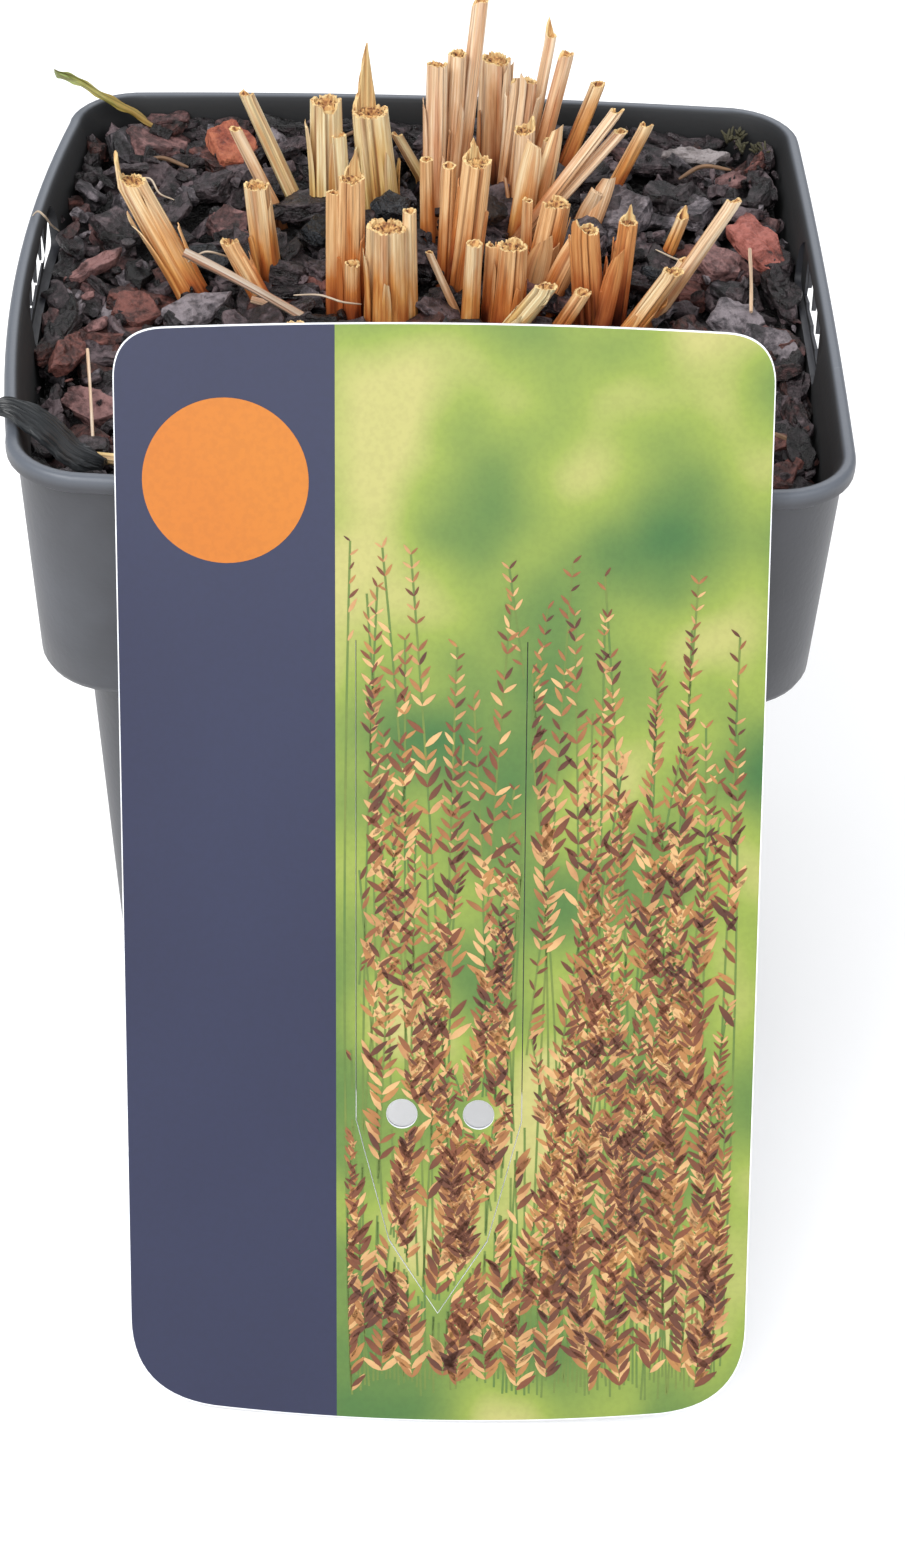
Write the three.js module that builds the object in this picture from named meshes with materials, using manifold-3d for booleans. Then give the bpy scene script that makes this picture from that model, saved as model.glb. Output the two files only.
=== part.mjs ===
// A pot-grown clump of moor grass, cut back to straw stubs: a square stepped nursery pot filled with
// potting mix, a layer of bark chips, the cut culms standing in it, and a plant label leaning on the rim.
// Millimetres, +Z up. The origin is the middle of the pot's base. The label stands at the -Y side.

import * as THREE from 'three';
import { mergeVertices } from 'three/addons/utils/BufferGeometryUtils.js';
import Module from 'manifold-3d';

const wasm = await Module();
wasm.setup();

// Pot
const POT_HEIGHT = 96;
const RIM_HALF_WIDTH = 45;
const RIM_CORNER_RADIUS = 9;
const RIM_BULGE = { left: 2.6, right: 0.4, back: 1.2, front: 1.0 };
const LIP_HEIGHT = 2.2;
const LIP_OVERHANG = 0.9;
const LIP_WIDTH = 1.6;
const LIP_ROUNDING = 0.5;
const LIP_UNDERSIDE = 0.3;
const LIP_INNER_DROP = 0.9;
const WALL = 1.1;
const COLLAR_DEPTH = 29.4;
const COLLAR_DRAFT = 1.5;
const SHOULDER_INSET = 2.4;
const SHOULDER_LOW = 0.6;
const SHOULDER_HIGH = 0.9;
const SHOULDER_DROP = 1;
const LEDGE_HIGH = 1.6;
const LEDGE_LOW = 0.6;
const LEDGE_ROUNDING = 1.2;
const BODY_HALF_WIDTH_TOP = 38;
const BODY_HALF_WIDTH_BASE = 34.5;
const BODY_CORNER_RADIUS = 8;
const BASE_THICKNESS = 1.2;
const FOOT_BEVEL_HEIGHT = 1.6;
const FOOT_BEVEL_INSET = 1.2;
const FOOT_WALL_EXTRA = 0.4;
const DRAIN_HOLE_DIAMETER = 7;
const DRAIN_HOLE_SPACING = 21;
const SLOT_LENGTH = 22;
const SLOT_HEIGHT = 3.2;
const SLOT_DEPTH_BELOW_RIM = 5.4;
const SLOT_TEETH = 6;
const LOW_TOOTH_HEIGHT = 0.9;
const HIGH_TOOTH_HEIGHT = 1.2;
const SLOT_FRAME_LENGTH = 26;
const SLOT_FRAME_HEIGHT = 7.4;
const SLOT_FRAME_PROUD = 0.5;
const SLOT_FRAME_BORDER = 1;
const SLOT_FRAME_CORNER = 1.6;

// Fill
const BARK_LEVEL_BELOW_RIM = 6;
const CROWN_BELOW_BARK = 1.5;
const BARK_SLOPE = 0.08;
const BARK_LAYER = 11;
const BARK_CHIP_COUNT = 64;
const BARK_BED_DROP = 2.2;
const BARK_HEAP_RISE = 5;
const FIT_GAP = 0.35;
const FILL_CLEARANCE = 0.3;
const ROOT_DEPTH = BARK_LAYER - CROWN_BELOW_BARK;

// Culms: shares are of a culm's radius, drops are below its cut.
const SHEATHED_FROM_WIDTH = 2;
const ROOT_TAPER = 0.8;
const FOOT_SWELL = 1.15;
const SHEATH_SHARE = 0.22;
const THINNEST_SHEATH = 0.3;
const GROOVE_DROP = 0.9;
const PITH_SHARE = 0.58;
const PITH_DROP = 0.2;
const BORE_SHARE = 0.34;
const BORE_DROP = 0.4;
const BORE_FLOOR_SHARE = 0.26;
const BORE_FLOOR_DROP = 1.8;

// Label
const LABEL_WIDTH = 67.7;
const LABEL_LENGTH = 121.4;
const LABEL_THICKNESS = 0.8;
const LABEL_ABOVE_RIM = 17.8;
const LABEL_LEAN = THREE.MathUtils.degToRad(23);
const LABEL_YAW = THREE.MathUtils.degToRad(-2.3);
const LABEL_ROLL = THREE.MathUtils.degToRad(-2);
const LABEL_SIDE_SHIFT = 1.2;
const LABEL_GAP = 0.6;
const LABEL_HOLE_DIAMETER = 3.4;
const LABEL_HOLES = [[-4, 85.3], [4.3, 85.3]];
const TONGUE_CUT = 0.4;
const TONGUE_HALF_WIDTH = 9;
const TONGUE_START = 33;
const TONGUE_SHOULDER = 86;
const TONGUE_NECK = 100;
const TONGUE_TIP = 108.6;

// A repeatable random draw between 0 and 1.
function seededRandom(seed) {
  let state = seed;
  return () => {
    state = (state * 1664525 + 1013904223) % 4294967296;
    return state / 4294967296;
  };
}

// Solids for joining and cutting, and back to drawable geometry.
function toSolid(geometry) {
  const bare = geometry.clone();
  bare.deleteAttribute('normal');
  bare.deleteAttribute('uv');
  const merged = mergeVertices(bare, 1e-4);
  return new wasm.Manifold(new wasm.Mesh({
    numProp: 3,
    vertProperties: Float32Array.from(merged.attributes.position.array),
    triVerts: Uint32Array.from(merged.index.array),
  }));
}

function toGeometry(solid) {
  const mesh = solid.getMesh();
  const geometry = new THREE.BufferGeometry();
  geometry.setAttribute('position', new THREE.BufferAttribute(Float32Array.from(mesh.vertProperties), 3));
  geometry.setIndex(new THREE.BufferAttribute(Uint32Array.from(mesh.triVerts), 1));
  geometry.computeVertexNormals();
  return geometry;
}

function join(solids) {
  return solids.reduce((sum, solid) => sum.add(solid));
}

// The largest connected body of a solid, so that a loose scrap is dropped.
function largestBody(solid) {
  return solid.decompose().sort((a, b) => b.volume() - a.volume())[0];
}

// A closed solid through a stack of rings that have the same number of points each. Rings run
// anticlockwise seen from +Z, and the first ring's cap faces away from the second ring.
function loft(rings) {
  const count = rings[0].length;
  const points = rings.flat();
  const faces = [];
  for (let level = 0; level < rings.length - 1; level += 1) {
    for (let i = 0; i < count; i += 1) {
      const next = (i + 1) % count;
      const a = level * count + i;
      const b = level * count + next;
      faces.push(a, b, b + count, a, b + count, a + count);
    }
  }
  const bottom = points.length;
  const last = (rings.length - 1) * count;
  points.push(ringMiddle(rings[0]), ringMiddle(rings[rings.length - 1]));
  for (let i = 0; i < count; i += 1) {
    const next = (i + 1) % count;
    faces.push(bottom, next, i, bottom + 1, last + i, last + next);
  }
  const geometry = new THREE.BufferGeometry().setFromPoints(points);
  geometry.setIndex(faces);
  geometry.computeVertexNormals();
  return geometry;
}

function ringMiddle(ring) {
  const middle = new THREE.Vector3();
  ring.forEach((point) => middle.add(point));
  return middle.divideScalar(ring.length);
}

// Rounded square with each side bulging out in a shallow curve, as the filled pot's walls do.
function squareRing(halfWidth, radius, z, bulgeShare) {
  const flat = halfWidth - radius;
  const bulge = (side) => halfWidth + 2 * RIM_BULGE[side] * bulgeShare;
  const shape = new THREE.Shape();
  shape.moveTo(halfWidth, -flat);
  shape.quadraticCurveTo(bulge('right'), 0, halfWidth, flat);
  shape.absarc(flat, flat, radius, 0, Math.PI / 2, false);
  shape.quadraticCurveTo(0, bulge('back'), -flat, halfWidth);
  shape.absarc(-flat, flat, radius, Math.PI / 2, Math.PI, false);
  shape.quadraticCurveTo(-bulge('left'), 0, -halfWidth, -flat);
  shape.absarc(-flat, -flat, radius, Math.PI, 1.5 * Math.PI, false);
  shape.quadraticCurveTo(0, -bulge('front'), flat, -halfWidth);
  shape.absarc(flat, -flat, radius, 1.5 * Math.PI, 2 * Math.PI, false);
  const outline = shape.getPoints(3);
  outline.pop();
  return outline.map((point) => new THREE.Vector3(point.x, point.y, z));
}

const collarBottom = POT_HEIGHT - COLLAR_DEPTH;
const wallTop = RIM_HALF_WIDTH - LIP_OVERHANG;
const wallBottom = wallTop - COLLAR_DRAFT;

// Outer half width of the collar wall at a height.
function collarHalfWidth(z) {
  return THREE.MathUtils.mapLinear(z, collarBottom, POT_HEIGHT, wallBottom, wallTop);
}

function bulgeShareAt(z) {
  return THREE.MathUtils.clamp(THREE.MathUtils.mapLinear(z, collarBottom, POT_HEIGHT, 0.4, 1), 0.4, 1);
}

function bodyHalfWidth(z) {
  return THREE.MathUtils.mapLinear(z, 0, collarBottom, BODY_HALF_WIDTH_BASE, BODY_HALF_WIDTH_TOP);
}

// The pot's shell: up the outside, over the lip, down the inside.
function potShell() {
  const body = (z, inset) => squareRing(bodyHalfWidth(z) - inset, BODY_CORNER_RADIUS - inset, z, 0);
  const collar = (z, inset) => squareRing(
    collarHalfWidth(z) - inset, RIM_CORNER_RADIUS - inset, z, bulgeShareAt(z));
  const lip = (z, inset) => squareRing(RIM_HALF_WIDTH - inset, RIM_CORNER_RADIUS - inset, z, 1);
  return toSolid(loft([
    body(0, FOOT_BEVEL_INSET),
    body(FOOT_BEVEL_HEIGHT, 0),
    body(collarBottom - SHOULDER_DROP, 0),
    collar(collarBottom - SHOULDER_LOW, SHOULDER_INSET),
    collar(collarBottom + SHOULDER_HIGH, 0),
    collar(POT_HEIGHT - LIP_HEIGHT, 0),
    lip(POT_HEIGHT - LIP_HEIGHT + LIP_UNDERSIDE, 0),
    lip(POT_HEIGHT - LIP_ROUNDING, 0),
    lip(POT_HEIGHT, LIP_ROUNDING),
    lip(POT_HEIGHT, LIP_WIDTH),
    collar(POT_HEIGHT - LIP_INNER_DROP, WALL + 0.1),
    collar(collarBottom + LEDGE_HIGH, WALL),
    collar(collarBottom + LEDGE_LOW, WALL + LEDGE_ROUNDING),
    body(collarBottom, WALL),
    body(BASE_THICKNESS, WALL + FOOT_WALL_EXTRA),
  ]));
}

function drainHole(x, y) {
  const radius = DRAIN_HOLE_DIAMETER / 2;
  const hole = new THREE.CylinderGeometry(radius, radius, 4 * BASE_THICKNESS, 10);
  hole.rotateX(Math.PI / 2);
  hole.translate(x, y, BASE_THICKNESS / 2);
  return toSolid(hole);
}

function drainHoles() {
  const steps = [-1, 0, 1];
  const places = steps.flatMap((i) => steps.map((j) => [i, j])).filter(([i, j]) => i !== 0 || j !== 0);
  return join(places.map(([i, j]) => drainHole(i * DRAIN_HOLE_SPACING, j * DRAIN_HOLE_SPACING)));
}

// The two walls that have a slot, and how far a plate that faces -Y is turned to lie on each.
const SLOTTED_WALLS = [
  { turn: Math.PI / 2, side: 'right' },
  { turn: -Math.PI / 2, side: 'left' },
];

// A plate facing -Y that is moved onto a wall of the collar at the slot's height.
function placeOnWall(geometry, wall, inset) {
  const z = POT_HEIGHT - SLOT_DEPTH_BELOW_RIM;
  const reach = collarHalfWidth(z) + RIM_BULGE[wall.side] * bulgeShareAt(z) - inset;
  geometry.rotateX(Math.PI / 2);
  geometry.translate(0, -reach, z);
  geometry.rotateZ(wall.turn);
  return toSolid(geometry);
}

// The slot is a long window with ragged teeth along both edges: sawteeth below, pointed teeth above.
function slotCutter(wall) {
  const half = SLOT_LENGTH / 2;
  const pitch = SLOT_LENGTH / SLOT_TEETH;
  const window = new THREE.Shape();
  window.moveTo(-half, -SLOT_HEIGHT / 2);
  for (let i = 0; i < SLOT_TEETH; i += 1) {
    window.lineTo(-half + (i + 0.35) * pitch, -SLOT_HEIGHT / 2);
    window.lineTo(-half + (i + 0.55) * pitch, -SLOT_HEIGHT / 2 + LOW_TOOTH_HEIGHT);
  }
  window.lineTo(half, -SLOT_HEIGHT / 2);
  window.lineTo(half, SLOT_HEIGHT / 2);
  for (let i = SLOT_TEETH - 1; i >= 0; i -= 1) {
    window.lineTo(-half + (i + 0.8) * pitch, SLOT_HEIGHT / 2);
    window.lineTo(-half + (i + 0.55) * pitch, SLOT_HEIGHT / 2 - HIGH_TOOTH_HEIGHT);
    window.lineTo(-half + (i + 0.3) * pitch, SLOT_HEIGHT / 2);
  }
  window.lineTo(-half, SLOT_HEIGHT / 2);
  const depth = 6 * WALL;
  const cutter = new THREE.ExtrudeGeometry(window, { depth, bevelEnabled: false });
  cutter.translate(0, 0, -depth / 2);
  return placeOnWall(cutter, wall, WALL / 2);
}

function roundedRectangle(width, height, radius) {
  const flatX = width / 2 - radius;
  const flatY = height / 2 - radius;
  const shape = new THREE.Shape();
  shape.moveTo(flatX, -height / 2);
  shape.absarc(flatX, -flatY, radius, -Math.PI / 2, 0, false);
  shape.absarc(flatX, flatY, radius, 0, Math.PI / 2, false);
  shape.absarc(-flatX, flatY, radius, Math.PI / 2, Math.PI, false);
  shape.absarc(-flatX, -flatY, radius, Math.PI, 1.5 * Math.PI, false);
  return shape;
}

// A raised border on the inside of the wall round the slot.
function slotFrame(wall) {
  const border = roundedRectangle(SLOT_FRAME_LENGTH, SLOT_FRAME_HEIGHT, SLOT_FRAME_CORNER);
  const opening = roundedRectangle(
    SLOT_FRAME_LENGTH - 2 * SLOT_FRAME_BORDER,
    SLOT_FRAME_HEIGHT - 2 * SLOT_FRAME_BORDER,
    SLOT_FRAME_CORNER / 2);
  border.holes.push(new THREE.Path(opening.getPoints(1).reverse()));
  const frame = new THREE.ExtrudeGeometry(
    border, { depth: 2 * SLOT_FRAME_PROUD, bevelEnabled: false, curveSegments: 1 });
  frame.translate(0, 0, -2 * SLOT_FRAME_PROUD);
  return placeOnWall(frame, wall, WALL - SLOT_FRAME_PROUD);
}

// The room that the border takes up in the fill.
function slotFrameRoom(wall) {
  const block = roundedRectangle(
    SLOT_FRAME_LENGTH + 2 * FIT_GAP, SLOT_FRAME_HEIGHT + 2 * FIT_GAP, SLOT_FRAME_CORNER);
  const depth = 2 * SLOT_FRAME_PROUD + FIT_GAP;
  const room = new THREE.ExtrudeGeometry(block, { depth, bevelEnabled: false, curveSegments: 1 });
  room.translate(0, 0, -depth);
  return placeOnWall(room, wall, WALL - SLOT_FRAME_PROUD);
}

function buildPot() {
  const frames = join(SLOTTED_WALLS.map(slotFrame));
  const slots = join(SLOTTED_WALLS.map(slotCutter));
  return potShell().add(frames).subtract(slots).subtract(drainHoles());
}

// Bark surface height: lower at the front of the pot than at the back.
function barkLevel(y) {
  return POT_HEIGHT - BARK_LEVEL_BELOW_RIM + BARK_SLOPE * y;
}

function sloped(ring, drop) {
  return ring.map((point) => new THREE.Vector3(point.x, point.y, barkLevel(point.y) - drop));
}

// What fills the collar between two drops below the bark surface, clear of the wall.
function collarFill(lowDrop, highDrop) {
  const inset = WALL + FIT_GAP + FILL_CLEARANCE;
  const ring = (drop) => {
    const z = POT_HEIGHT - BARK_LEVEL_BELOW_RIM - Math.max(drop, 0);
    return squareRing(collarHalfWidth(z) - inset, RIM_CORNER_RADIUS - inset, z, bulgeShareAt(z));
  };
  return toSolid(loft([sloped(ring(lowDrop), lowDrop), sloped(ring(highDrop), highDrop)]));
}

// The cut culms. Each one has the place of its foot on the bark, how far it rises above the bark, how
// far its top is shifted sideways and back, and its width. A thick one is a culm wrapped in its leaf
// sheaths, a thin one is a bare culm. Culms that press together stand in one tuft. The low ones in
// front stand behind the label.
const TUFTS = {
  stub_left_leaning: [
    { foot: [-28, 6.5], rise: 13.6, shift: [-7, 1.5], width: 3.5, sliver: { at: 0.55, height: 3.5 } },
  ],
  stub_left_upright: [
    { foot: [-19.2, 9.6], rise: 12.2, shift: [-1.4, 0], width: 3 },
  ],
  stub_left_short: [
    { foot: [-19.4, 4.2], rise: 8, shift: [-4.2, 0.6], width: 2.1, slit: 0.25 },
  ],
  culm_back_left_tall: [
    { foot: [-16.6, 26.4], rise: 14, shift: [-6, 0.6], width: 1.8, slit: 0.3 },
  ],
  culm_back_left_low: [
    { foot: [-18.8, 24], rise: 11, shift: [-5, 0], width: 1.6 },
  ],
  stub_back_broad: [
    { foot: [-12.8, 24.6], rise: 14.4, shift: [-0.3, 0.2], width: 3.7, slit: 0.8 },
    { foot: [-10.8, 23.4], rise: 11, shift: [-0.7, 0], width: 1.8 },
  ],
  stub_back_spiked: [
    { foot: [-6.4, 25.6], rise: 12.6, shift: [-1.4, 0.4], width: 4.3, sliver: { at: 0.3, height: 8.4 } },
  ],
  stub_middle_split: [
    { foot: [-9.4, 3.6], rise: 16.8, shift: [-0.1, 0.4], width: 3, sliver: { at: 0.2, height: 3.2 } },
    { foot: [-11.4, 4], rise: 15, shift: [-0.2, 0], width: 1.7 },
    { foot: [-9.2, 1.3], rise: 7.6, shift: [-0.1, 0], width: 1.8 },
  ],
  stub_middle_broad: [
    { foot: [-5.2, 0.4], rise: 12.8, shift: [-0.2, 0.2], width: 4.5 },
    { foot: [-2.5, 1.4], rise: 14.4, shift: [-0.4, 0.2], width: 1.6 },
  ],
  splinter_middle_right: [
    { foot: [2.8, 4.2], rise: 7, shift: [-3.3, 1], width: 0.9 },
  ],
  splinter_back_left: [
    { foot: [-1.4, 32.8], rise: 5.6, shift: [-3.2, 0.4], width: 1.4, slit: 0.2 },
  ],
  tuft_back_tall: [
    { foot: [0.2, 24], rise: 18.8, shift: [-0.2, 2.6], width: 2.5, slit: 0.25 },
    { foot: [1.8, 25.4], rise: 19, shift: [0.6, 3.4], width: 2.2 },
    { foot: [2.8, 27], rise: 24.6, shift: [2.2, 4.4], width: 1.9, slit: 0.6 },
  ],
  stub_back_dark: [
    { foot: [7.4, 35.6], rise: 13.2, shift: [-0.2, 2.4], width: 3.8 },
  ],
  stub_back_twin: [
    { foot: [9.6, 30.8], rise: 13.2, shift: [1, 1.8], width: 3.2, sliver: { at: 0.7, height: 2 } },
    { foot: [12, 31.2], rise: 16.6, shift: [3.6, 2.6], width: 1.8, slit: 0.6 },
  ],
  culm_back_needle: [
    { foot: [11.4, 35.8], rise: 16, shift: [2.5, 3.4], width: 1.4, sliver: { at: 0.4, height: 2.4 } },
  ],
  culm_back_right: [
    { foot: [15.8, 34.4], rise: 11.2, shift: [4, 2.2], width: 1.8 },
  ],
  culms_right_crossing: [
    { foot: [9.6, 18.2], rise: 17.4, shift: [11.6, 1.4], width: 1.7, slit: 0.3 },
    { foot: [10.4, 18.9], rise: 14.4, shift: [11.4, 1.2], width: 1.7 },
  ],
  culm_right_inner: [
    { foot: [20.8, 27.6], rise: 10.8, shift: [4.6, 0.2], width: 1.7, slit: 0.3 },
  ],
  stub_back_front: [
    { foot: [10.4, 24.6], rise: 11.4, shift: [0.2, 0], width: 2.6, sliver: { at: 0.1, height: 1.6 } },
    { foot: [12.3, 25.2], rise: 9.6, shift: [1.8, 0.4], width: 2.2 },
  ],
  stub_centre_tall: [
    { foot: [3.6, 9.4], rise: 16, shift: [1.2, 0.2], width: 3.4, sliver: { at: 0.35, height: 2.2 } },
    { foot: [1.4, 10.6], rise: 14.6, shift: [0.2, 0.4], width: 1.7 },
  ],
  culm_centre_back: [
    { foot: [-0.6, 19], rise: 10.6, shift: [-0.4, 0], width: 1.6 },
  ],
  stub_right_hidden: [
    { foot: [12.7, 11.2], rise: 9.8, shift: [1.5, 0.2], width: 3.3, slit: 0.4 },
    { foot: [11, 12.4], rise: 9.6, shift: [-0.1, 0], width: 1.3 },
  ],
  stub_front_open: [
    { foot: [8.7, 2.8], rise: 9.4, shift: [0.3, 0], width: 3.5 },
    { foot: [6.7, 3.6], rise: 9, shift: [0.1, 0], width: 1.7, slit: 0.3 },
  ],
  stub_front_left: [
    { foot: [4.4, 1.6], rise: 10.4, shift: [0.2, 0], width: 1.9 },
  ],
  stub_right_open: [
    { foot: [18.4, 2], rise: 12, shift: [-1.2, 0.2], width: 3.2, sliver: { at: 0.6, height: 2 } },
  ],
  stub_right_narrow: [
    { foot: [21.4, 4], rise: 12, shift: [0.8, 0.2], width: 2.2, sliver: { at: 0.2, height: 1.8 } },
  ],
  splinter_front_long: [
    { foot: [8.2, -1.4], rise: 7.2, shift: [4.7, -0.4], width: 2.6, slit: 0.45 },
  ],
  splinter_front_short: [
    { foot: [14, -0.8], rise: 6, shift: [3.2, 0], width: 2 },
  ],
  culm_right_outer: [
    { foot: [25.4, 2.8], rise: 15.8, shift: [8.6, 0.4], width: 1.8, slit: 0.35 },
    { foot: [25.2, 4.2], rise: 6.6, shift: [4, 1.4], width: 1.5 },
  ],
  splinter_right_back: [
    { foot: [27.4, 14.6], rise: 6.4, shift: [2, 0.2], width: 1.5, sliver: { at: 0.3, height: 1.6 } },
  ],
  stub_hidden_left: [
    { foot: [-13.6, -9], rise: 6.2, shift: [-1.6, -0.8], width: 3 },
  ],
  stub_hidden_middle: [
    { foot: [-3.6, -12.4], rise: 8, shift: [-0.4, -1], width: 3.4 },
    { foot: [-1.6, -11.2], rise: 7, shift: [0, -0.6], width: 1.6 },
  ],
  stub_hidden_right: [
    { foot: [12.4, -12], rise: 7.6, shift: [1.6, -1], width: 2.8 },
  ],
  culm_hidden_near: [
    { foot: [4.6, -8.6], rise: 5.6, shift: [0.4, -0.6], width: 1.8 },
  ],
  stub_hidden_front: [
    { foot: [3.4, -18.6], rise: 10.6, shift: [0.6, -2.4], width: 2.6 },
    { foot: [1.6, -18], rise: 9, shift: [0, -2], width: 1.6 },
  ],
  stub_right_slanted: [
    { foot: [22.2, -0.6], rise: 8.6, shift: [5.2, 0.4], width: 2.4 },
  ],
};

// Centre of a culm at a share of its rise. Below the bark it runs straight down into the roots.
function culmAxis(culm, share) {
  const [x, y] = culm.foot;
  const bend = share > 0 ? share ** 1.1 : 0.35 * share;
  const z = barkLevel(y) - CROWN_BELOW_BARK + (share > 0 ? share * culm.rise : share * ROOT_DEPTH);
  return new THREE.Vector3(x + bend * culm.shift[0], y + bend * culm.shift[1], z);
}

// A level ring round the culm's axis. Every second point stands in a little, which makes the ribs.
// A point that is sunk below the ring's level moves along the culm's lean, so it stays in the culm.
function culmRing(culm, share, radius, lift, ribs) {
  const centre = culmAxis(culm, share);
  const sides = culmSides(culm);
  return Array.from({ length: sides }, (unused, i) => {
    const angle = (2 * Math.PI * i) / sides;
    const reach = radius * (i % 2 ? 1 - ribs : 1);
    const sunk = Math.min(lift(i), 0) / culm.rise;
    const x = centre.x + sunk * culm.shift[0] + reach * Math.cos(angle);
    const y = centre.y + sunk * culm.shift[1] + reach * Math.sin(angle);
    return new THREE.Vector3(x, y, centre.z + lift(i));
  });
}

function isSheathed(culm) {
  return culm.width > SHEATHED_FROM_WIDTH;
}

function culmSides(culm) {
  return isSheathed(culm) ? 10 : 6;
}

// How far each point of the cut end stands above the cut: ragged fibres, a slit, or one long sliver.
function cutEdge(culm, random) {
  const sides = culmSides(culm);
  const rag = Array.from({ length: sides }, () => 0.5 * random() * Math.min(1, culm.width / 3));
  if (culm.slit) {
    const at = Math.floor(culm.slit * sides);
    rag[at] -= 0.5 * culm.width;
  }
  if (culm.sliver) {
    const at = Math.floor(culm.sliver.at * sides);
    rag[at] += culm.sliver.height;
    rag[(at + 1) % sides] += 0.25 * culm.sliver.height;
  }
  return (i) => rag[i];
}

// The culm goes up its sheath, down inside it to the rim of the pith, and into the bore.
function culmSolid(culm, random) {
  const radius = culm.width / 2;
  const edge = cutEdge(culm, random);
  const level = () => 0;
  const sheathWall = Math.max(THINNEST_SHEATH, SHEATH_SHARE * radius);
  const ribs = isSheathed(culm) ? 0.13 : 0.08;
  const rings = [
    culmRing(culm, -1, ROOT_TAPER * radius, level, 0),
    culmRing(culm, 0, FOOT_SWELL * radius, level, ribs),
    culmRing(culm, 1, radius, edge, ribs),
    culmRing(culm, 1, radius - sheathWall, (i) => edge(i) * 0.92, ribs),
  ];
  if (isSheathed(culm)) {
    rings.push(
      culmRing(culm, 1, radius - 1.3 * sheathWall, () => -GROOVE_DROP, 0),
      culmRing(culm, 1, PITH_SHARE * radius, () => -PITH_DROP, 0),
    );
  }
  rings.push(
    culmRing(culm, 1, BORE_SHARE * radius, () => -BORE_DROP, 0),
    culmRing(culm, 1, BORE_FLOOR_SHARE * radius, () => -BORE_FLOOR_DROP, 0),
  );
  return toSolid(loft(rings));
}

// The plain hole that a culm stands in.
function culmHole(culm) {
  const radius = 0.5 * culm.width * FOOT_SWELL + FIT_GAP;
  const sides = isSheathed(culm) ? 8 : 6;
  const hole = (share, lift) => {
    const centre = culmAxis(culm, share);
    return Array.from({ length: sides }, (unused, i) => {
      const angle = (2 * Math.PI * (i + 0.5)) / sides;
      const reach = radius / Math.cos(Math.PI / sides);
      return new THREE.Vector3(
        centre.x + reach * Math.cos(angle), centre.y + reach * Math.sin(angle), centre.z + lift);
    });
  };
  return toSolid(loft([hole(-1, -2 * FIT_GAP), hole(0, 0), hole(0.35, 0), hole(1, 4)]));
}

function buildTufts() {
  const random = seededRandom(11);
  return Object.entries(TUFTS).map(([name, culms]) => ({
    name,
    solid: join(culms.map((culm) => culmSolid(culm, random))),
    holes: culms.map(culmHole),
  }));
}

// A flake of bark: a flat, uneven slab with five or six corners and sloping sides.
function flake({ at, length, width, thickness, turn, tip, roll, grow = 0, seed }) {
  const random = seededRandom(seed);
  const corners = 5 + Math.floor(1.4 * random());
  const outline = Array.from({ length: corners }, (unused, i) => {
    const angle = (2 * Math.PI * (i + 0.35 * random())) / corners;
    const reach = 0.78 + 0.32 * random();
    return [0.5 * length * reach * Math.cos(angle), 0.5 * width * reach * Math.sin(angle)];
  });
  const ring = (shrink, z) => outline.map(([x, y]) => {
    const spread = shrink + (1.8 * grow) / Math.hypot(x, y);
    return new THREE.Vector3(x * spread, y * spread, z);
  });
  const geometry = loft([ring(1, -thickness / 2 - grow), ring(0.84, thickness / 2 + grow)]);
  geometry.rotateX(roll);
  geometry.rotateY(tip);
  geometry.rotateZ(turn);
  geometry.translate(at[0], at[1], barkLevel(at[1]) + at[2]);
  return toSolid(geometry);
}

// The chips that stand out by their colour lie on top and are pieces of their own.
const LOOSE_CHIPS = {
  chip_orange_back: {
    at: [-25, 36.6, -0.2],
    length: 8, width: 10, thickness: 1.8,
    turn: 0.2, tip: 0.15, roll: 0.3, seed: 21,
  },
  chip_red_right: {
    at: [38.2, 19.4, 0.4],
    length: 13, width: 6, thickness: 1.6,
    turn: -1.05, tip: -0.1, roll: -0.5, seed: 22,
  },
  chip_pink_right: {
    at: [33.6, 12.4, 0.4],
    length: 7.4, width: 6.6, thickness: 1.8,
    turn: 0.5, tip: 0.25, roll: 0.35, seed: 23,
  },
  chip_grey_right: {
    at: [35.2, 1.6, 0.2],
    length: 7.4, width: 7, thickness: 1.2,
    turn: 0.7, tip: 0, roll: 0.3, seed: 24,
  },
  chip_mauve_left: {
    at: [-27.6, 0.2, 0.4],
    length: 10, width: 5.6, thickness: 1.1,
    turn: 0.45, tip: -0.1, roll: 0.35, seed: 25,
  },
  chip_rust_left: {
    at: [-34.2, 0.6, -0.1],
    length: 6.8, width: 5, thickness: 1.4,
    turn: -0.4, tip: 0.2, roll: 0.4, seed: 26,
  },
  chip_red_left: {
    at: [-41, -8.6, 0.2],
    length: 11, width: 4.4, thickness: 1.5,
    turn: 1.35, tip: 0.1, roll: 0.5, seed: 27,
  },
  chip_rose_front: {
    at: [-37.6, -18.4, 0],
    length: 8.6, width: 5, thickness: 1.6,
    turn: -0.5, tip: 0.1, roll: 0.4, seed: 28,
  },
  splinter_red_left: {
    at: [-39.6, 8.6, 0.3],
    length: 9.6, width: 2, thickness: 1.2,
    turn: 0.75, tip: -0.15, roll: 0.2, seed: 29,
  },
  splinter_pale_back: {
    at: [32.4, 36.8, 0.1],
    length: 11, width: 2.6, thickness: 1,
    turn: 0.05, tip: 0.05, roll: 0.3, seed: 30,
  },
};

function looseChip(name, grow) {
  return flake({ ...LOOSE_CHIPS[name], grow });
}

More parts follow.
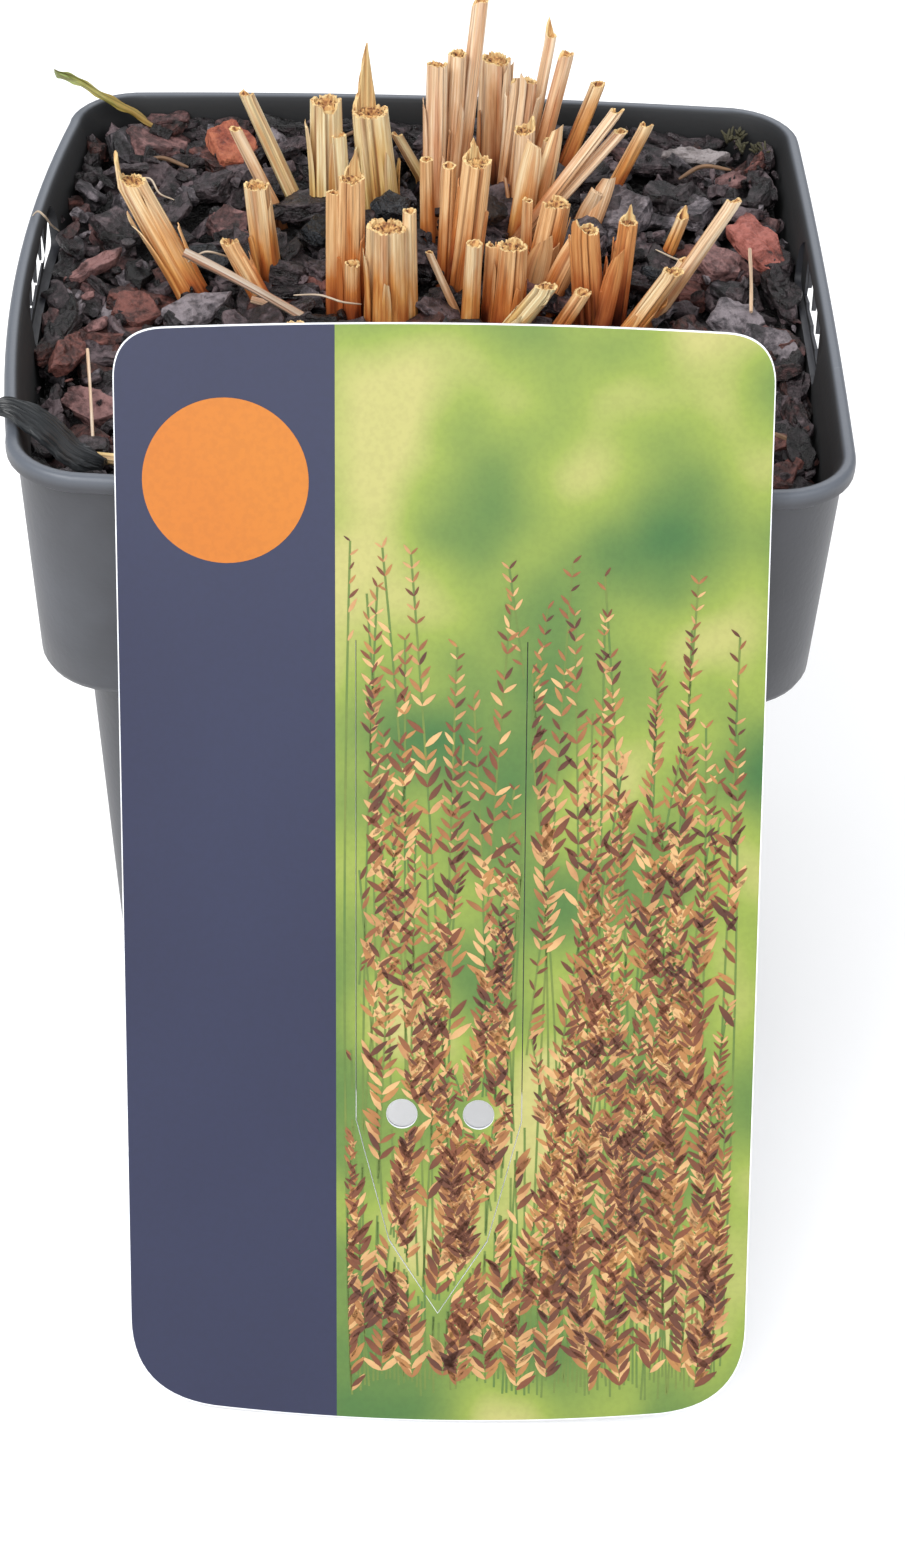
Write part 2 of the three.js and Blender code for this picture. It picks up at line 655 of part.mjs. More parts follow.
// Moves both ends of a row of points outwards along the row.
function stretchEnds(stations, amount) {
  const last = stations.length - 1;
  const headward = stations[0].clone().sub(stations[1]).setLength(amount);
  const tailward = stations[last].clone().sub(stations[last - 1]).setLength(amount);
  stations[0].add(headward);
  stations[last].add(tailward);
}

// A straw: a round or flattened stalk along a bent route.
function straw(points, width, thickness, sides, grow = 0) {
  const section = new THREE.Shape();
  for (let i = 0; i < sides; i += 1) {
    const angle = (2 * Math.PI * (i + 0.5)) / sides;
    const x = (0.5 * thickness + grow) * Math.cos(angle);
    const y = (0.5 * width + grow) * Math.sin(angle);
    if (i === 0) {
      section.moveTo(x, y);
    } else {
      section.lineTo(x, y);
    }
  }
  section.closePath();
  const stations = points.map(([x, y, z]) => new THREE.Vector3(x, y, z));
  stretchEnds(stations, grow);
  const route = new THREE.CatmullRomCurve3(stations);
  return toSolid(new THREE.ExtrudeGeometry(section, { steps: 2 * points.length, extrudePath: route }));
}

const STRAWS = {
  grey_straw: {
    points: [[-10.8, -2.4, 88.6], [-16.4, -0.8, 91.4], [-22.8, 0.8, 94.4], [-28.6, 2.2, 96.8]],
    width: 1.1,
    thickness: 1.1,
    sides: 6,
  },
  short_straw_left: {
    points: [[-13.2, 1.4, 88.6], [-17, 1.9, 89.8], [-21, 2.2, 90.9]],
    width: 0.8,
    thickness: 0.8,
    sides: 5,
  },
  thin_straw_left: {
    points: [[-36.9, -26, 88.4], [-37.6, -20, 90.6], [-38.6, -12, 92]],
    width: 0.7,
    thickness: 0.7,
    sides: 5,
  },
  thin_straw_right: {
    points: [[36.9, 1.2, 91.4], [37.2, 6.6, 92.6], [37.4, 12.6, 93.4]],
    width: 0.8,
    thickness: 0.8,
    sides: 5,
  },
  cream_straw: {
    points: [[-38, -29.4, 88.6], [-35.4, -29.6, 88.8], [-31.4, -29.8, 88.4]],
    width: 1.4,
    thickness: 1.1,
    sides: 6,
  },
};

function strawSolid(name, grow = 0) {
  const { points, width, thickness, sides } = STRAWS[name];
  return straw(points, width, thickness, sides, grow);
}

// Leaves: flat blades with a raised or sunk middle, thinner towards both ends.
const LEAVES = {
  green_blade: {
    route: [
      [-33.6, 40.4, 92.4], [-37.6, 40.8, 95], [-41, 40, 97.3], [-44.2, 42.2, 98.2], [-47.4, 45.6, 97.6],
    ],
    widths: [1.6, 2.2, 2.4, 2.1, 1.2],
    across: [0.45, -0.89, -0.1],
    thickness: 0.8,
    cup: -0.2,
  },
  dead_leaf: {
    route: [
      [-47.2, -33.6, 97.4], [-44.6, -33.8, 98], [-41, -34, 96], [-38, -33.6, 92.4], [-35, -33, 90.4],
    ],
    widths: [1.6, 4.6, 6.4, 6.2, 2.4],
    across: [0.25, 0.97, 0],
    thickness: 0.8,
    cup: 0.15,
  },
};

function leafSolid(name, grow = 0) {
  const { route, widths, thickness, cup } = LEAVES[name];
  const across = new THREE.Vector3(...LEAVES[name].across).normalize();
  const stations = route.map(([x, y, z]) => new THREE.Vector3(x, y, z));
  stretchEnds(stations, grow);
  const rings = stations.map((station, i) => {
    const half = widths[i] / 2 + grow;
    const thick = thickness / 2 + grow;
    const edge = (side, up) => station.clone()
      .addScaledVector(across, side * half)
      .add(new THREE.Vector3(0, 0, up * thick - cup * half * Math.abs(side)));
    return [edge(0, -1), edge(1, -0.7), edge(1, 0.7), edge(0, 1), edge(-1, 0.7), edge(-1, -0.7)];
  });
  return toSolid(loft(rings));
}

// The bark layer: a bed of crumbs with chips lying at all angles on it, holed for the culms.
function barkChips() {
  const random = seededRandom(5);
  const reach = RIM_HALF_WIDTH - 5;
  const columns = Math.ceil(Math.sqrt(BARK_CHIP_COUNT));
  return Array.from({ length: BARK_CHIP_COUNT }, (unused, i) => {
    const column = i % columns;
    const row = Math.floor(i / columns);
    const x = reach * (2 * (column + random()) / columns - 1);
    const y = reach * (2 * (row + random()) / columns - 1);
    const length = 9 + 7 * random();
    return flake({
      at: [x, y, -1.6 + 1.9 * random()],
      length,
      width: length * (0.55 + 0.3 * random()),
      thickness: 1.8 + 1.2 * random(),
      turn: 2 * Math.PI * random(),
      tip: 0.9 * (random() - 0.5),
      roll: 0.9 * (random() - 0.5),
      seed: 100 + i,
    });
  });
}

function buildBark(tufts, clearances) {
  const bed = collarFill(BARK_LAYER, BARK_BED_DROP);
  const room = collarFill(BARK_LAYER, -BARK_HEAP_RISE);
  const holes = join(tufts.flatMap((tuft) => tuft.holes));
  const heap = bed.add(join(barkChips())).intersect(room);
  const frames = join(SLOTTED_WALLS.map(slotFrameRoom));
  return largestBody(heap.subtract(holes).subtract(clearances).subtract(frames));
}

// The potting mix fills the body and the collar up to the bark, and the culms' feet stand on it.
function buildMix() {
  const bodyInset = WALL + FOOT_WALL_EXTRA + FIT_GAP;
  const lower = (z) => squareRing(bodyHalfWidth(z) - bodyInset, BODY_CORNER_RADIUS - bodyInset, z, 0);
  const body = toSolid(loft([lower(BASE_THICKNESS + FIT_GAP), lower(collarBottom + 3)]));
  const collar = collarFill(COLLAR_DEPTH - BARK_LEVEL_BELOW_RIM, BARK_LAYER + FIT_GAP);
  const ledge = new THREE.BoxGeometry(3 * RIM_HALF_WIDTH, 3 * RIM_HALF_WIDTH, COLLAR_DEPTH);
  ledge.translate(0, 0, collarBottom + LEDGE_HIGH + 0.3 + COLLAR_DEPTH / 2);
  return body.add(collar.intersect(toSolid(ledge)));
}

// The label: a stiff printed card with rounded corners, two punched holes and a cut tongue.
function labelOutline() {
  const half = LABEL_WIDTH / 2;
  const topRadius = 5;
  const bottomRadius = 9;
  const arch = 2.6;
  const shoulder = 0.7;
  const card = new THREE.Shape();
  card.moveTo(-half, -LABEL_LENGTH + bottomRadius + arch);
  card.quadraticCurveTo(-half, -LABEL_LENGTH + arch, -half + bottomRadius, -LABEL_LENGTH + arch * 0.5);
  card.quadraticCurveTo(0, -LABEL_LENGTH - arch * 0.5, half - bottomRadius, -LABEL_LENGTH + arch * 0.5);
  card.quadraticCurveTo(half, -LABEL_LENGTH + arch, half, -LABEL_LENGTH + bottomRadius + arch);
  card.lineTo(half, -topRadius - 1);
  card.quadraticCurveTo(half, -1, half - topRadius, -shoulder);
  card.quadraticCurveTo(0, shoulder, -half + topRadius, -shoulder);
  card.quadraticCurveTo(-half, -1, -half, -topRadius - 1);
  card.closePath();
  return card;
}

function punchedHole([x, down]) {
  const hole = new THREE.Path();
  hole.absarc(x, -down, LABEL_HOLE_DIAMETER / 2, 0, 2 * Math.PI, true);
  return hole;
}

// The tongue is cut along both sides and round its tip, and still hangs on the card at its top.
function tongueCut() {
  const half = TONGUE_HALF_WIDTH;
  const line = [
    [-half, TONGUE_START],
    [-half, TONGUE_SHOULDER],
    [-0.6 * half, TONGUE_NECK],
    [0, TONGUE_TIP],
    [0.6 * half, TONGUE_NECK],
    [half, TONGUE_SHOULDER],
    [half, TONGUE_START],
  ];
  const inner = line.map(([x, down]) => {
    const lift = down > TONGUE_SHOULDER ? 1.5 * TONGUE_CUT : 0;
    return [x * (1 - TONGUE_CUT / half), down - lift];
  });
  const path = [...line, ...inner.reverse()].map(([x, down]) => new THREE.Vector2(x, -down));
  return new THREE.Path(path);
}

function buildLabel() {
  const card = labelOutline();
  card.holes.push(...LABEL_HOLES.map(punchedHole), tongueCut());
  const geometry = new THREE.ExtrudeGeometry(
    card, { depth: LABEL_THICKNESS, bevelEnabled: false, curveSegments: 6 });
  geometry.rotateX(Math.PI / 2);
  return geometry;
}

function placeLabel(mesh) {
  const lipFace = RIM_HALF_WIDTH + RIM_BULGE.front;
  mesh.rotation.set(-LABEL_LEAN, LABEL_ROLL, LABEL_YAW, 'ZXY');
  const down = new THREE.Vector3(0, 0, -1).applyEuler(mesh.rotation);
  const contact = new THREE.Vector3(LABEL_SIDE_SHIFT, -lipFace - LABEL_GAP, POT_HEIGHT);
  mesh.position.copy(contact).addScaledVector(down, -LABEL_ABOVE_RIM);
}

function finish(color, roughness) {
  return new THREE.MeshStandardMaterial({ color, roughness, metalness: 0 });
}

const FINISHES = {
  pot: finish('#4d4e52', 0.55),
  mix: finish('#2c211d', 0.95),
  bark: finish('#45353a', 0.85),
  straw: finish('#d3a35f', 0.6),
  greyStraw: finish('#9b8d80', 0.7),
  paleStraw: finish('#dcc39a', 0.65),
  dead_leaf: finish('#34383a', 0.6),
  green_blade: finish('#8a7a3c', 0.5),
  label: finish('#6d7a58', 0.35),
};

const CHIP_COLOURS = {
  chip_orange_back: '#a2492f',
  chip_red_right: '#9c4a35',
  chip_pink_right: '#7d4a4a',
  chip_grey_right: '#6a6068',
  chip_mauve_left: '#6e6169',
  chip_rust_left: '#8a4a38',
  chip_red_left: '#743a36',
  chip_rose_front: '#84504c',
  splinter_red_left: '#6e3b34',
  splinter_pale_back: '#868283',
};

function piece(name, geometry, material) {
  const mesh = new THREE.Mesh(geometry, material);
  mesh.name = name;
  return mesh;
}

function assemble() {
  const group = new THREE.Group();
  const tufts = buildTufts();
  const chipNames = Object.keys(LOOSE_CHIPS);
  const strawNames = Object.keys(STRAWS);
  const leafNames = Object.keys(LEAVES);
  const clearances = join([
    ...chipNames.map((name) => looseChip(name, FIT_GAP)),
    ...strawNames.map((name) => strawSolid(name, FIT_GAP)),
    ...leafNames.map((name) => leafSolid(name, FIT_GAP)),
  ]);
  group.add(piece('pot', toGeometry(buildPot()), FINISHES.pot));
  group.add(piece('potting_mix', toGeometry(buildMix()), FINISHES.mix));
  group.add(piece('bark_mulch', toGeometry(buildBark(tufts, clearances)), FINISHES.bark));
  tufts.forEach(({ name, solid }) => group.add(piece(name, toGeometry(solid), FINISHES.straw)));
  chipNames.forEach((name) => {
    group.add(piece(name, toGeometry(looseChip(name, 0)), finish(CHIP_COLOURS[name], 0.85)));
  });
  strawNames.forEach((name) => {
    const material = name === 'grey_straw' ? FINISHES.greyStraw : FINISHES.paleStraw;
    group.add(piece(name, toGeometry(strawSolid(name)), material));
  });
  leafNames.forEach((name) => group.add(piece(name, toGeometry(leafSolid(name)), FINISHES[name])));
  const label = piece('plant_label', buildLabel(), FINISHES.label);
  placeLabel(label);
  group.add(label);
  return group;
}

export default assemble();
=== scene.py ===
"""A pot-grown clump of moor grass, cut back to straw stubs, with a plant label leaning on the rim.

Tables and shape functions work in millimetres, and add_piece turns them to metres. The frame is the
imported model's: +Z up, the middle of the pot's base at the origin, the label at the -Y side.
"""

import math

import bmesh
import bpy
import numpy as np
from mathutils import Matrix, Vector, noise


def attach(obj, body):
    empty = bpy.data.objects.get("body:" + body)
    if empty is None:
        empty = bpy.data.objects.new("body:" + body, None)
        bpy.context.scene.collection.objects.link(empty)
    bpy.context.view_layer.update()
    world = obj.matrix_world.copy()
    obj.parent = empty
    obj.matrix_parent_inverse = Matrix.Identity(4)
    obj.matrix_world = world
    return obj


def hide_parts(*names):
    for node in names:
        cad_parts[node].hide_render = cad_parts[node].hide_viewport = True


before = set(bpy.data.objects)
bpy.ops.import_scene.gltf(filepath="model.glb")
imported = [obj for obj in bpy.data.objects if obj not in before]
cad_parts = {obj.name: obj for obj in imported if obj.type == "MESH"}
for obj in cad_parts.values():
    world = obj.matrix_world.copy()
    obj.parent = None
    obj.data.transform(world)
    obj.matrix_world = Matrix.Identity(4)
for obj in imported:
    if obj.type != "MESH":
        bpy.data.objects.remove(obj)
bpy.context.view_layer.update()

MM = 0.001

# Pot, as in the solids
POT_HEIGHT = 96
RIM_HALF_WIDTH = 45
RIM_CORNER_RADIUS = 9
RIM_BULGE = {"left": 2.6, "right": 0.4, "back": 1.2, "front": 1.0}
LIP_HEIGHT = 2.2
LIP_OVERHANG = 0.9
WALL = 1.1
COLLAR_BOTTOM = 66.6
COLLAR_DRAFT = 1.5
COLLAR_BOTTOM_BULGE_SHARE = 0.4
BODY_HALF_WIDTH_TOP = 38
BODY_HALF_WIDTH_BASE = 34.5
BODY_CORNER_RADIUS = 8
BASE_THICKNESS = 1.2
DRAIN_HOLE_RADIUS = 3.5
DRAIN_HOLE_SPACING = 21

# The pot's slots, each in a recessed panel and closer under the lip than the solid's, and how
# finely the pot's walls are drawn
SLOT_TURN = {"right": 0, "left": math.pi}
SLOT_HEIGHT = {"right": 4.6, "left": 3.8}
SLOT_ALONG = {"right": 0, "left": -4.2}
SLOT_LENGTH = 16
SLOT_TEETH = 3
SLOT_BELOW_RIM = 3.7
SLOT_PANEL_LENGTH = 25
SLOT_PANEL_HEIGHT = 5.6
SLOT_PANEL_CORNER = 1.2
SLOT_PANEL_THICKNESS = 0.5
SIDE_STEPS = 18
CORNER_STEPS = 10
POT_SHARP_ANGLE = 35
# Where the pot's outline rounds an edge: (height, how far inside the plain wall). The heights
# are above the base, the collar's bottom, the lip's underside and the rim.
FOOT_ROUND = [(0, 1.4), (0.15, 1), (0.6, 0.4), (1.6, 0)]
COLLAR_ROUND = [(-0.6, 2.4), (-0.35, 1.1), (0.1, 0.35), (0.9, 0)]
LIP_ROUND = [(0.1, 0.35), (0.35, 0.05), (0.6, 0)]
RIM_ROUND = [(-0.6, 0), (-0.25, 0.12), (-0.06, 0.35), (0, 0.6), (-0.03, 1.1), (-0.2, 1.4), (-0.6, 1.6)]

# Fill, as in the solids
BARK_BELOW_RIM = 6
CROWN_BELOW_BARK = 1.5
BARK_SLOPE = 0.08
BARK_LAYER = 11
ROOT_DEPTH = BARK_LAYER - CROWN_BELOW_BARK
FIT_GAP = 0.35
LARGE_CHIPS = 64

# Bark chips, crumbs, moss and threads, finer than in the solids
CHIP_SHRINK = 0.74
SUNK_UNDER_LOOSE = 1.6
SMALL_CHIPS = 760
WALL_CHIPS = 120
CRUMBS = 1300
BED_TOP_DROP = 3
CHIP_SHARP_ANGLE = 28
# How strewn chips are drawn. A pair is the least, and how much more there can be. The width is
# a share of the length, the lift is from the bark's level, and the tilt is both ways together.
STREWN = {
    "large": dict(length=(9, 7), width=(0.55, 0.3), thickness=(1.8, 1.2), lift=(-1.6, 1.9), tilt=0.9),
    "small": dict(length=(3.2, 6), width=(0.4, 0.4), thickness=(0.7, 0.9), lift=(-1.8, 2.3), tilt=1.4),
    "wall": dict(length=(4.5, 4), width=(0.35, 0.25), thickness=(0.9, 1), lift=(-1.2, 1.6)),
    "crumb": dict(length=(0.8, 1.8), width=(0.3, 0.5), thickness=(0.35, 0.5), lift=(-2.1, 2.5), tilt=2),
}
# Where the chips along the walls lie: how far along each wall, and how far inwards from it.
WALL_CHIP_REACH = 38
WALL_CHIP_INWARDS = (1.9, 1.6)
# Shares of the kinds of bark among the strewn chips: the red ones in the middle of the pot, how
# many more they are at each side, the grey ones, and the grey and plum ones together.
RED_SHARE = 0.06
RED_SHARE_MORE = {"right": 0.3, "left": 0.17}
GREY_SHARE = 0.13
GREY_AND_PLUM_SHARE = 0.5
# Glossy wet chips between the culms: across, back, lift, length and turn.
WET_CHIPS = [(-4.8, 21, 1.6, 7, 0.5), (6.4, 20.2, 2.2, 8, 1.2), (-27, 10, 0.6, 7, 0.2),
             (-13.5, 17, 0.8, 7, 0.9), (27, 9, 0.7, 7, 2.2)]
MOSS_TUFTS = 26
MOSS_SHOOTS = 7
MOSS_SHOOT_RADIUS = 0.17
MOSS_CORNER = (36.5, 37)
MOSS_SPREAD = (7, 7.5)
HAIR_RADIUS = 0.13
ROOT_RADIUS = 0.3

# Culms
RIB_SPACING = 0.55
SHEATHED_WIDTH = 2
SHEATH_STEP = 0.09
STRIP_WIDTH_SHARE = 1.3
CULM_SHARP_ANGLE = 32
STRAW_SHARP_ANGLE = 50
THREAD_SHARP_ANGLE = 60
# The materials of a culm, by number
SKIN, CUT, PITH = range(3)

# Label, as in the solids
LABEL_WIDTH = 67.7
LABEL_LENGTH = 121.4
LABEL_THICKNESS = 0.8
LABEL_HEAD_CORNER = 5
LABEL_FOOT_CORNER = 9
LABEL_HEAD_RISE = 0.7
LABEL_FOOT_ARCH = 2.6
LABEL_ABOVE_RIM = 17.8
LABEL_LEAN = math.radians(23)
LABEL_YAW = math.radians(-2.3)
LABEL_ROLL = math.radians(-2)
LABEL_SIDE_SHIFT = 1.2
LABEL_GAP = 0.6
LABEL_HOLE_RADIUS = 1.7
LABEL_HOLES = [(-4, 85.3), (4.3, 85.3)]
TONGUE_HALF_WIDTH = 9
TONGUE_NECK_HALF_WIDTH = 0.6 * TONGUE_HALF_WIDTH
TONGUE_START = 33
TONGUE_SHOULDER = 86
TONGUE_NECK = 100
TONGUE_TIP = 108.6
TONGUE_SLIT = 0.1

# Print on the label
PRINT_THICKNESS = 0.04
PRINT_INSET = 0.12
PRINT_CLEAR_OF_SLIT = 0.15
PRINT_SHARP_ANGLE = 60
BAND_RIGHT_EDGE = -11.1
SPOT_CENTRE = (-22.4, 16.4)
SPOT_RADIUS = 8.6
SPRIGS = 92
SPRIG_STEPS = 64
SPRIG_LEAFY_LENGTH = 33
SPRIG_FEET = dict(left=-9.5, right=31.5, down=118.5)
SPRIG_TIPS = dict(left=-9.5, right=31, highest=21, lowest=93)
# Steps that spread the sprigs evenly, whatever their number
FOOT_STEP = 0.5698
TIP_STEP = 0.7549
SPRIG_STEM_WIDTH = 0.24
SPRIG_LEAF_WIDTH_SHARE = 0.26
SPRIG_LEAVES_KEPT = 0.72

# Camera, fitted to the photograph
PHOTO_SIZE = (905, 1552)
FOCAL_PIXELS = 3269.2
SENSOR_WIDTH = 36
CAMERA_PLACE = (-3.092, -331.136, 279.045)
CAMERA_PITCH = math.radians(37.648)
CAMERA_ROLL = math.radians(2.068)
CAMERA_PAN = math.radians(1.273)

# Surroundings: the board under the pot, the sky, and where the lamps aim
BOARD_HALF_WIDTH = 1500
BOARD_THICKNESS = 20
SKY_STRENGTH = 0.72
LAMP_AIM = (0, 0, 60)
# Lamps: name, place, size and power in watts.
LAMPS = [
    ("key", (-520, -420, 980), 520, 7.4),
    ("fill", (700, -500, 700), 600, 2.8),
    ("back", (120, 760, 820), 700, 3),
    ("front", (-250, -800, 640), 700, 5.2),
]

# The seed of each stream of draws
DRAW_SEED = {"large chips": 5, "bark kinds": 9, "culms": 11, "moss": 13, "sprigs": 31,
             "small chips": 41, "wall chips": 57, "crumbs": 77}
# The seed of the first of each kind of shape. The next one of its kind takes the next number.
FIRST_SEED = {"loose chip": 21, "straw": 60, "hair": 80, "root": 90, "large chip": 100,
              "moss tuft": 200, "small chip": 400, "culm": 500, "loose strip": 830,
              "wet chip": 900, "wall chip": 1400, "crumb": 3000}


def cut_culm(foot, rise, shift, width, slit=None, sliver=None):
    """A cut culm: its foot on the bark, its rise above the crown, how far its top is shifted, its
    width, where round it a slit is, and where a sliver stands up and how high."""
    return dict(foot=foot, rise=rise, shift=shift, width=width, slit=slit, sliver=sliver)


# The cut culms of each tuft. The names are the solids'.
TUFTS = {
    "stub_left_leaning": [cut_culm((-28, 6.5), 13.6, (-7, 1.5), 3.5, sliver=(0.55, 3.5))],
    "stub_left_upright": [cut_culm((-19.2, 9.6), 12.2, (-1.4, 0), 3)],
    "stub_left_short": [cut_culm((-19.4, 4.2), 8, (-4.2, 0.6), 2.1, slit=0.25)],
    "culm_back_left_tall": [cut_culm((-16.6, 26.4), 14, (-6, 0.6), 1.8, slit=0.3)],
    "culm_back_left_low": [cut_culm((-18.8, 24), 11, (-5, 0), 1.6)],
    "stub_back_broad": [
        cut_culm((-12.8, 24.6), 14.4, (-0.3, 0.2), 3.7, slit=0.8),
        cut_culm((-10.8, 23.4), 11, (-0.7, 0), 1.8),
    ],
    "stub_back_spiked": [cut_culm((-6.4, 25.6), 12.6, (-1.4, 0.4), 4.3, sliver=(0.3, 8.4))],
    "stub_middle_split": [
        cut_culm((-9.4, 3.6), 16.8, (-0.1, 0.4), 3, sliver=(0.2, 3.2)),
        cut_culm((-11.4, 4), 15, (-0.2, 0), 1.7),
        cut_culm((-9.2, 1.3), 7.6, (-0.1, 0), 1.8),
    ],
    "stub_middle_broad": [
        cut_culm((-5.2, 0.4), 12.8, (-0.2, 0.2), 4.5),
        cut_culm((-2.5, 1.4), 14.4, (-0.4, 0.2), 1.6),
    ],
    "splinter_middle_right": [cut_culm((2.8, 4.2), 7, (-3.3, 1), 0.9)],
    "splinter_back_left": [cut_culm((-1.4, 32.8), 5.6, (-3.2, 0.4), 1.4, slit=0.2)],
    "tuft_back_tall": [
        cut_culm((0.2, 24), 18.8, (-0.2, 2.6), 2.5, slit=0.25),
        cut_culm((1.8, 25.4), 19, (0.6, 3.4), 2.2),
        cut_culm((2.8, 27), 24.6, (2.2, 4.4), 1.9, slit=0.6),
    ],
    "stub_back_dark": [cut_culm((7.4, 35.6), 13.2, (-0.2, 2.4), 3.8)],
    "stub_back_twin": [
        cut_culm((9.6, 30.8), 13.2, (1, 1.8), 3.2, sliver=(0.7, 2)),
        cut_culm((12, 31.2), 16.6, (3.6, 2.6), 1.8, slit=0.6),
    ],
    "culm_back_needle": [cut_culm((11.4, 35.8), 16, (2.5, 3.4), 1.4, sliver=(0.4, 2.4))],
    "culm_back_right": [cut_culm((15.8, 34.4), 11.2, (4, 2.2), 1.8)],
    "culms_right_crossing": [
        cut_culm((9.6, 18.2), 17.4, (11.6, 1.4), 1.7, slit=0.3),
        cut_culm((10.4, 18.9), 14.4, (11.4, 1.2), 1.7),
    ],
    "culm_right_inner": [cut_culm((20.8, 27.6), 10.8, (4.6, 0.2), 1.7, slit=0.3)],
    "stub_back_front": [
        cut_culm((10.4, 24.6), 11.4, (0.2, 0), 2.6, sliver=(0.1, 1.6)),
        cut_culm((12.3, 25.2), 9.6, (1.8, 0.4), 2.2),
    ],
    "stub_centre_tall": [
        cut_culm((3.6, 9.4), 16, (1.2, 0.2), 3.4, sliver=(0.35, 2.2)),
        cut_culm((1.4, 10.6), 14.6, (0.2, 0.4), 1.7),
    ],
    "culm_centre_back": [cut_culm((-0.6, 19), 10.6, (-0.4, 0), 1.6)],
    "stub_right_hidden": [
        cut_culm((12.7, 11.2), 9.8, (1.5, 0.2), 3.3, slit=0.4),
        cut_culm((11, 12.4), 9.6, (-0.1, 0), 1.3),
    ],
    "stub_front_open": [
        cut_culm((8.7, 2.8), 9.4, (0.3, 0), 3.5),
        cut_culm((6.7, 3.6), 9, (0.1, 0), 1.7, slit=0.3),
    ],
    "stub_front_left": [cut_culm((4.4, 1.6), 10.4, (0.2, 0), 1.9)],
    "stub_right_open": [cut_culm((18.4, 2), 12, (-1.2, 0.2), 3.2, sliver=(0.6, 2))],
    "stub_right_narrow": [cut_culm((21.4, 4), 12, (0.8, 0.2), 2.2, sliver=(0.2, 1.8))],
    "splinter_front_long": [cut_culm((8.2, -1.4), 7.2, (4.7, -0.4), 2.6, slit=0.45)],
    "splinter_front_short": [cut_culm((14, -0.8), 6, (3.2, 0), 2)],
    "culm_right_outer": [
        cut_culm((25.4, 2.8), 15.8, (8.6, 0.4), 1.8, slit=0.35),
        cut_culm((25.2, 4.2), 6.6, (4, 1.4), 1.5),
    ],
    "splinter_right_back": [cut_culm((27.4, 14.6), 6.4, (2, 0.2), 1.5, sliver=(0.3, 1.6))],
    "stub_hidden_left": [cut_culm((-13.6, -9), 6.2, (-1.6, -0.8), 3)],
    "stub_hidden_middle": [
        cut_culm((-3.6, -12.4), 8, (-0.4, -1), 3.4),
        cut_culm((-1.6, -11.2), 7, (0, -0.6), 1.6),
    ],
    "stub_hidden_right": [cut_culm((12.4, -12), 7.6, (1.6, -1), 2.8)],
    "culm_hidden_near": [cut_culm((4.6, -8.6), 5.6, (0.4, -0.6), 1.8)],
    "stub_hidden_front": [
        cut_culm((3.4, -18.6), 10.6, (0.6, -2.4), 2.6),
        cut_culm((1.6, -18), 9, (0, -2), 1.6),
    ],
    "stub_right_slanted": [cut_culm((22.2, -0.6), 8.6, (5.2, 0.4), 2.4)],
}

# Bark chips that lie on top: place, size, how they lie, and their kind of bark.
LOOSE_CHIPS = {
    "chip_orange_back": dict(at=(-25, 36.6, -0.2), length=8, width=10, thickness=1.8,
                             turn=0.2, tip=0.15, roll=0.3, bark="orange"),
    "chip_red_right": dict(at=(38.8, 16.8, 0.6), length=13, width=6, thickness=1.6,
                           turn=-1.1, tip=0.16, roll=0.05, bark="fresh"),
    "chip_pink_right": dict(at=(33.6, 12.4, 0.4), length=7.4, width=6.6, thickness=1.8,
                            turn=0.5, tip=0.25, roll=0.35, bark="rose"),
    "chip_grey_right": dict(at=(35.2, 1.6, 0.2), length=7.4, width=7, thickness=1.2,
                            turn=0.7, tip=0, roll=0.3, bark="grey"),
    "chip_mauve_left": dict(at=(-27.6, 0.2, 0.4), length=10, width=5.6, thickness=1.1,
                            turn=0.45, tip=-0.1, roll=0.35, bark="grey"),
    "chip_rust_left": dict(at=(-34.2, 0.6, -0.1), length=6.8, width=5, thickness=1.4,
                           turn=-0.4, tip=0.2, roll=0.4, bark="rust"),
    "chip_red_left": dict(at=(-41, -8.6, 0.2), length=11, width=4.4, thickness=1.5,
                          turn=1.35, tip=0.1, roll=0.5, bark="rust"),
    "chip_rose_front": dict(at=(-37.6, -18.4, 0), length=8.6, width=5, thickness=1.6,
                            turn=-0.5, tip=0.1, roll=0.4, bark="rose"),
    "splinter_red_left": dict(at=(-39.6, 8.6, 0.3), length=9.6, width=2, thickness=1.2,
                              turn=0.75, tip=-0.15, roll=0.2, bark="rose"),
    "splinter_pale_back": dict(at=(32.4, 36.8, 0.1), length=11, width=2.6, thickness=1,
                               turn=0.05, tip=0.05, roll=0.3, bark="pale"),
}

# Straws that lie loose: route, width and finish.
STRAWS = {
    "grey_straw": dict(route=[(-10.8, -2.4, 88.6), (-16.4, -0.8, 91.4), (-22.8, 0.8, 94.4),
                              (-28.6, 2.2, 96.8)], width=1.1, finish="weathered"),
    "short_straw_left": dict(route=[(-13.2, 1.4, 88.6), (-17, 1.9, 89.8), (-21, 2.2, 90.9)],
                             width=0.8, finish="bleached"),
    "thin_straw_left": dict(route=[(-36.9, -26, 88.4), (-37.6, -20, 90.6), (-38.6, -12, 92)],
                            width=0.36, finish="bleached"),
    "thin_straw_right": dict(route=[(36.9, 1.2, 91.4), (37.2, 6.6, 92.6), (37.4, 12.6, 93.4)],
                             width=0.42, finish="bleached"),
    "cream_straw": dict(route=[(-38, -29.4, 88.6), (-35.4, -29.6, 88.8), (-31.4, -29.8, 88.4)],
                        width=1.4, finish="pale"),
}

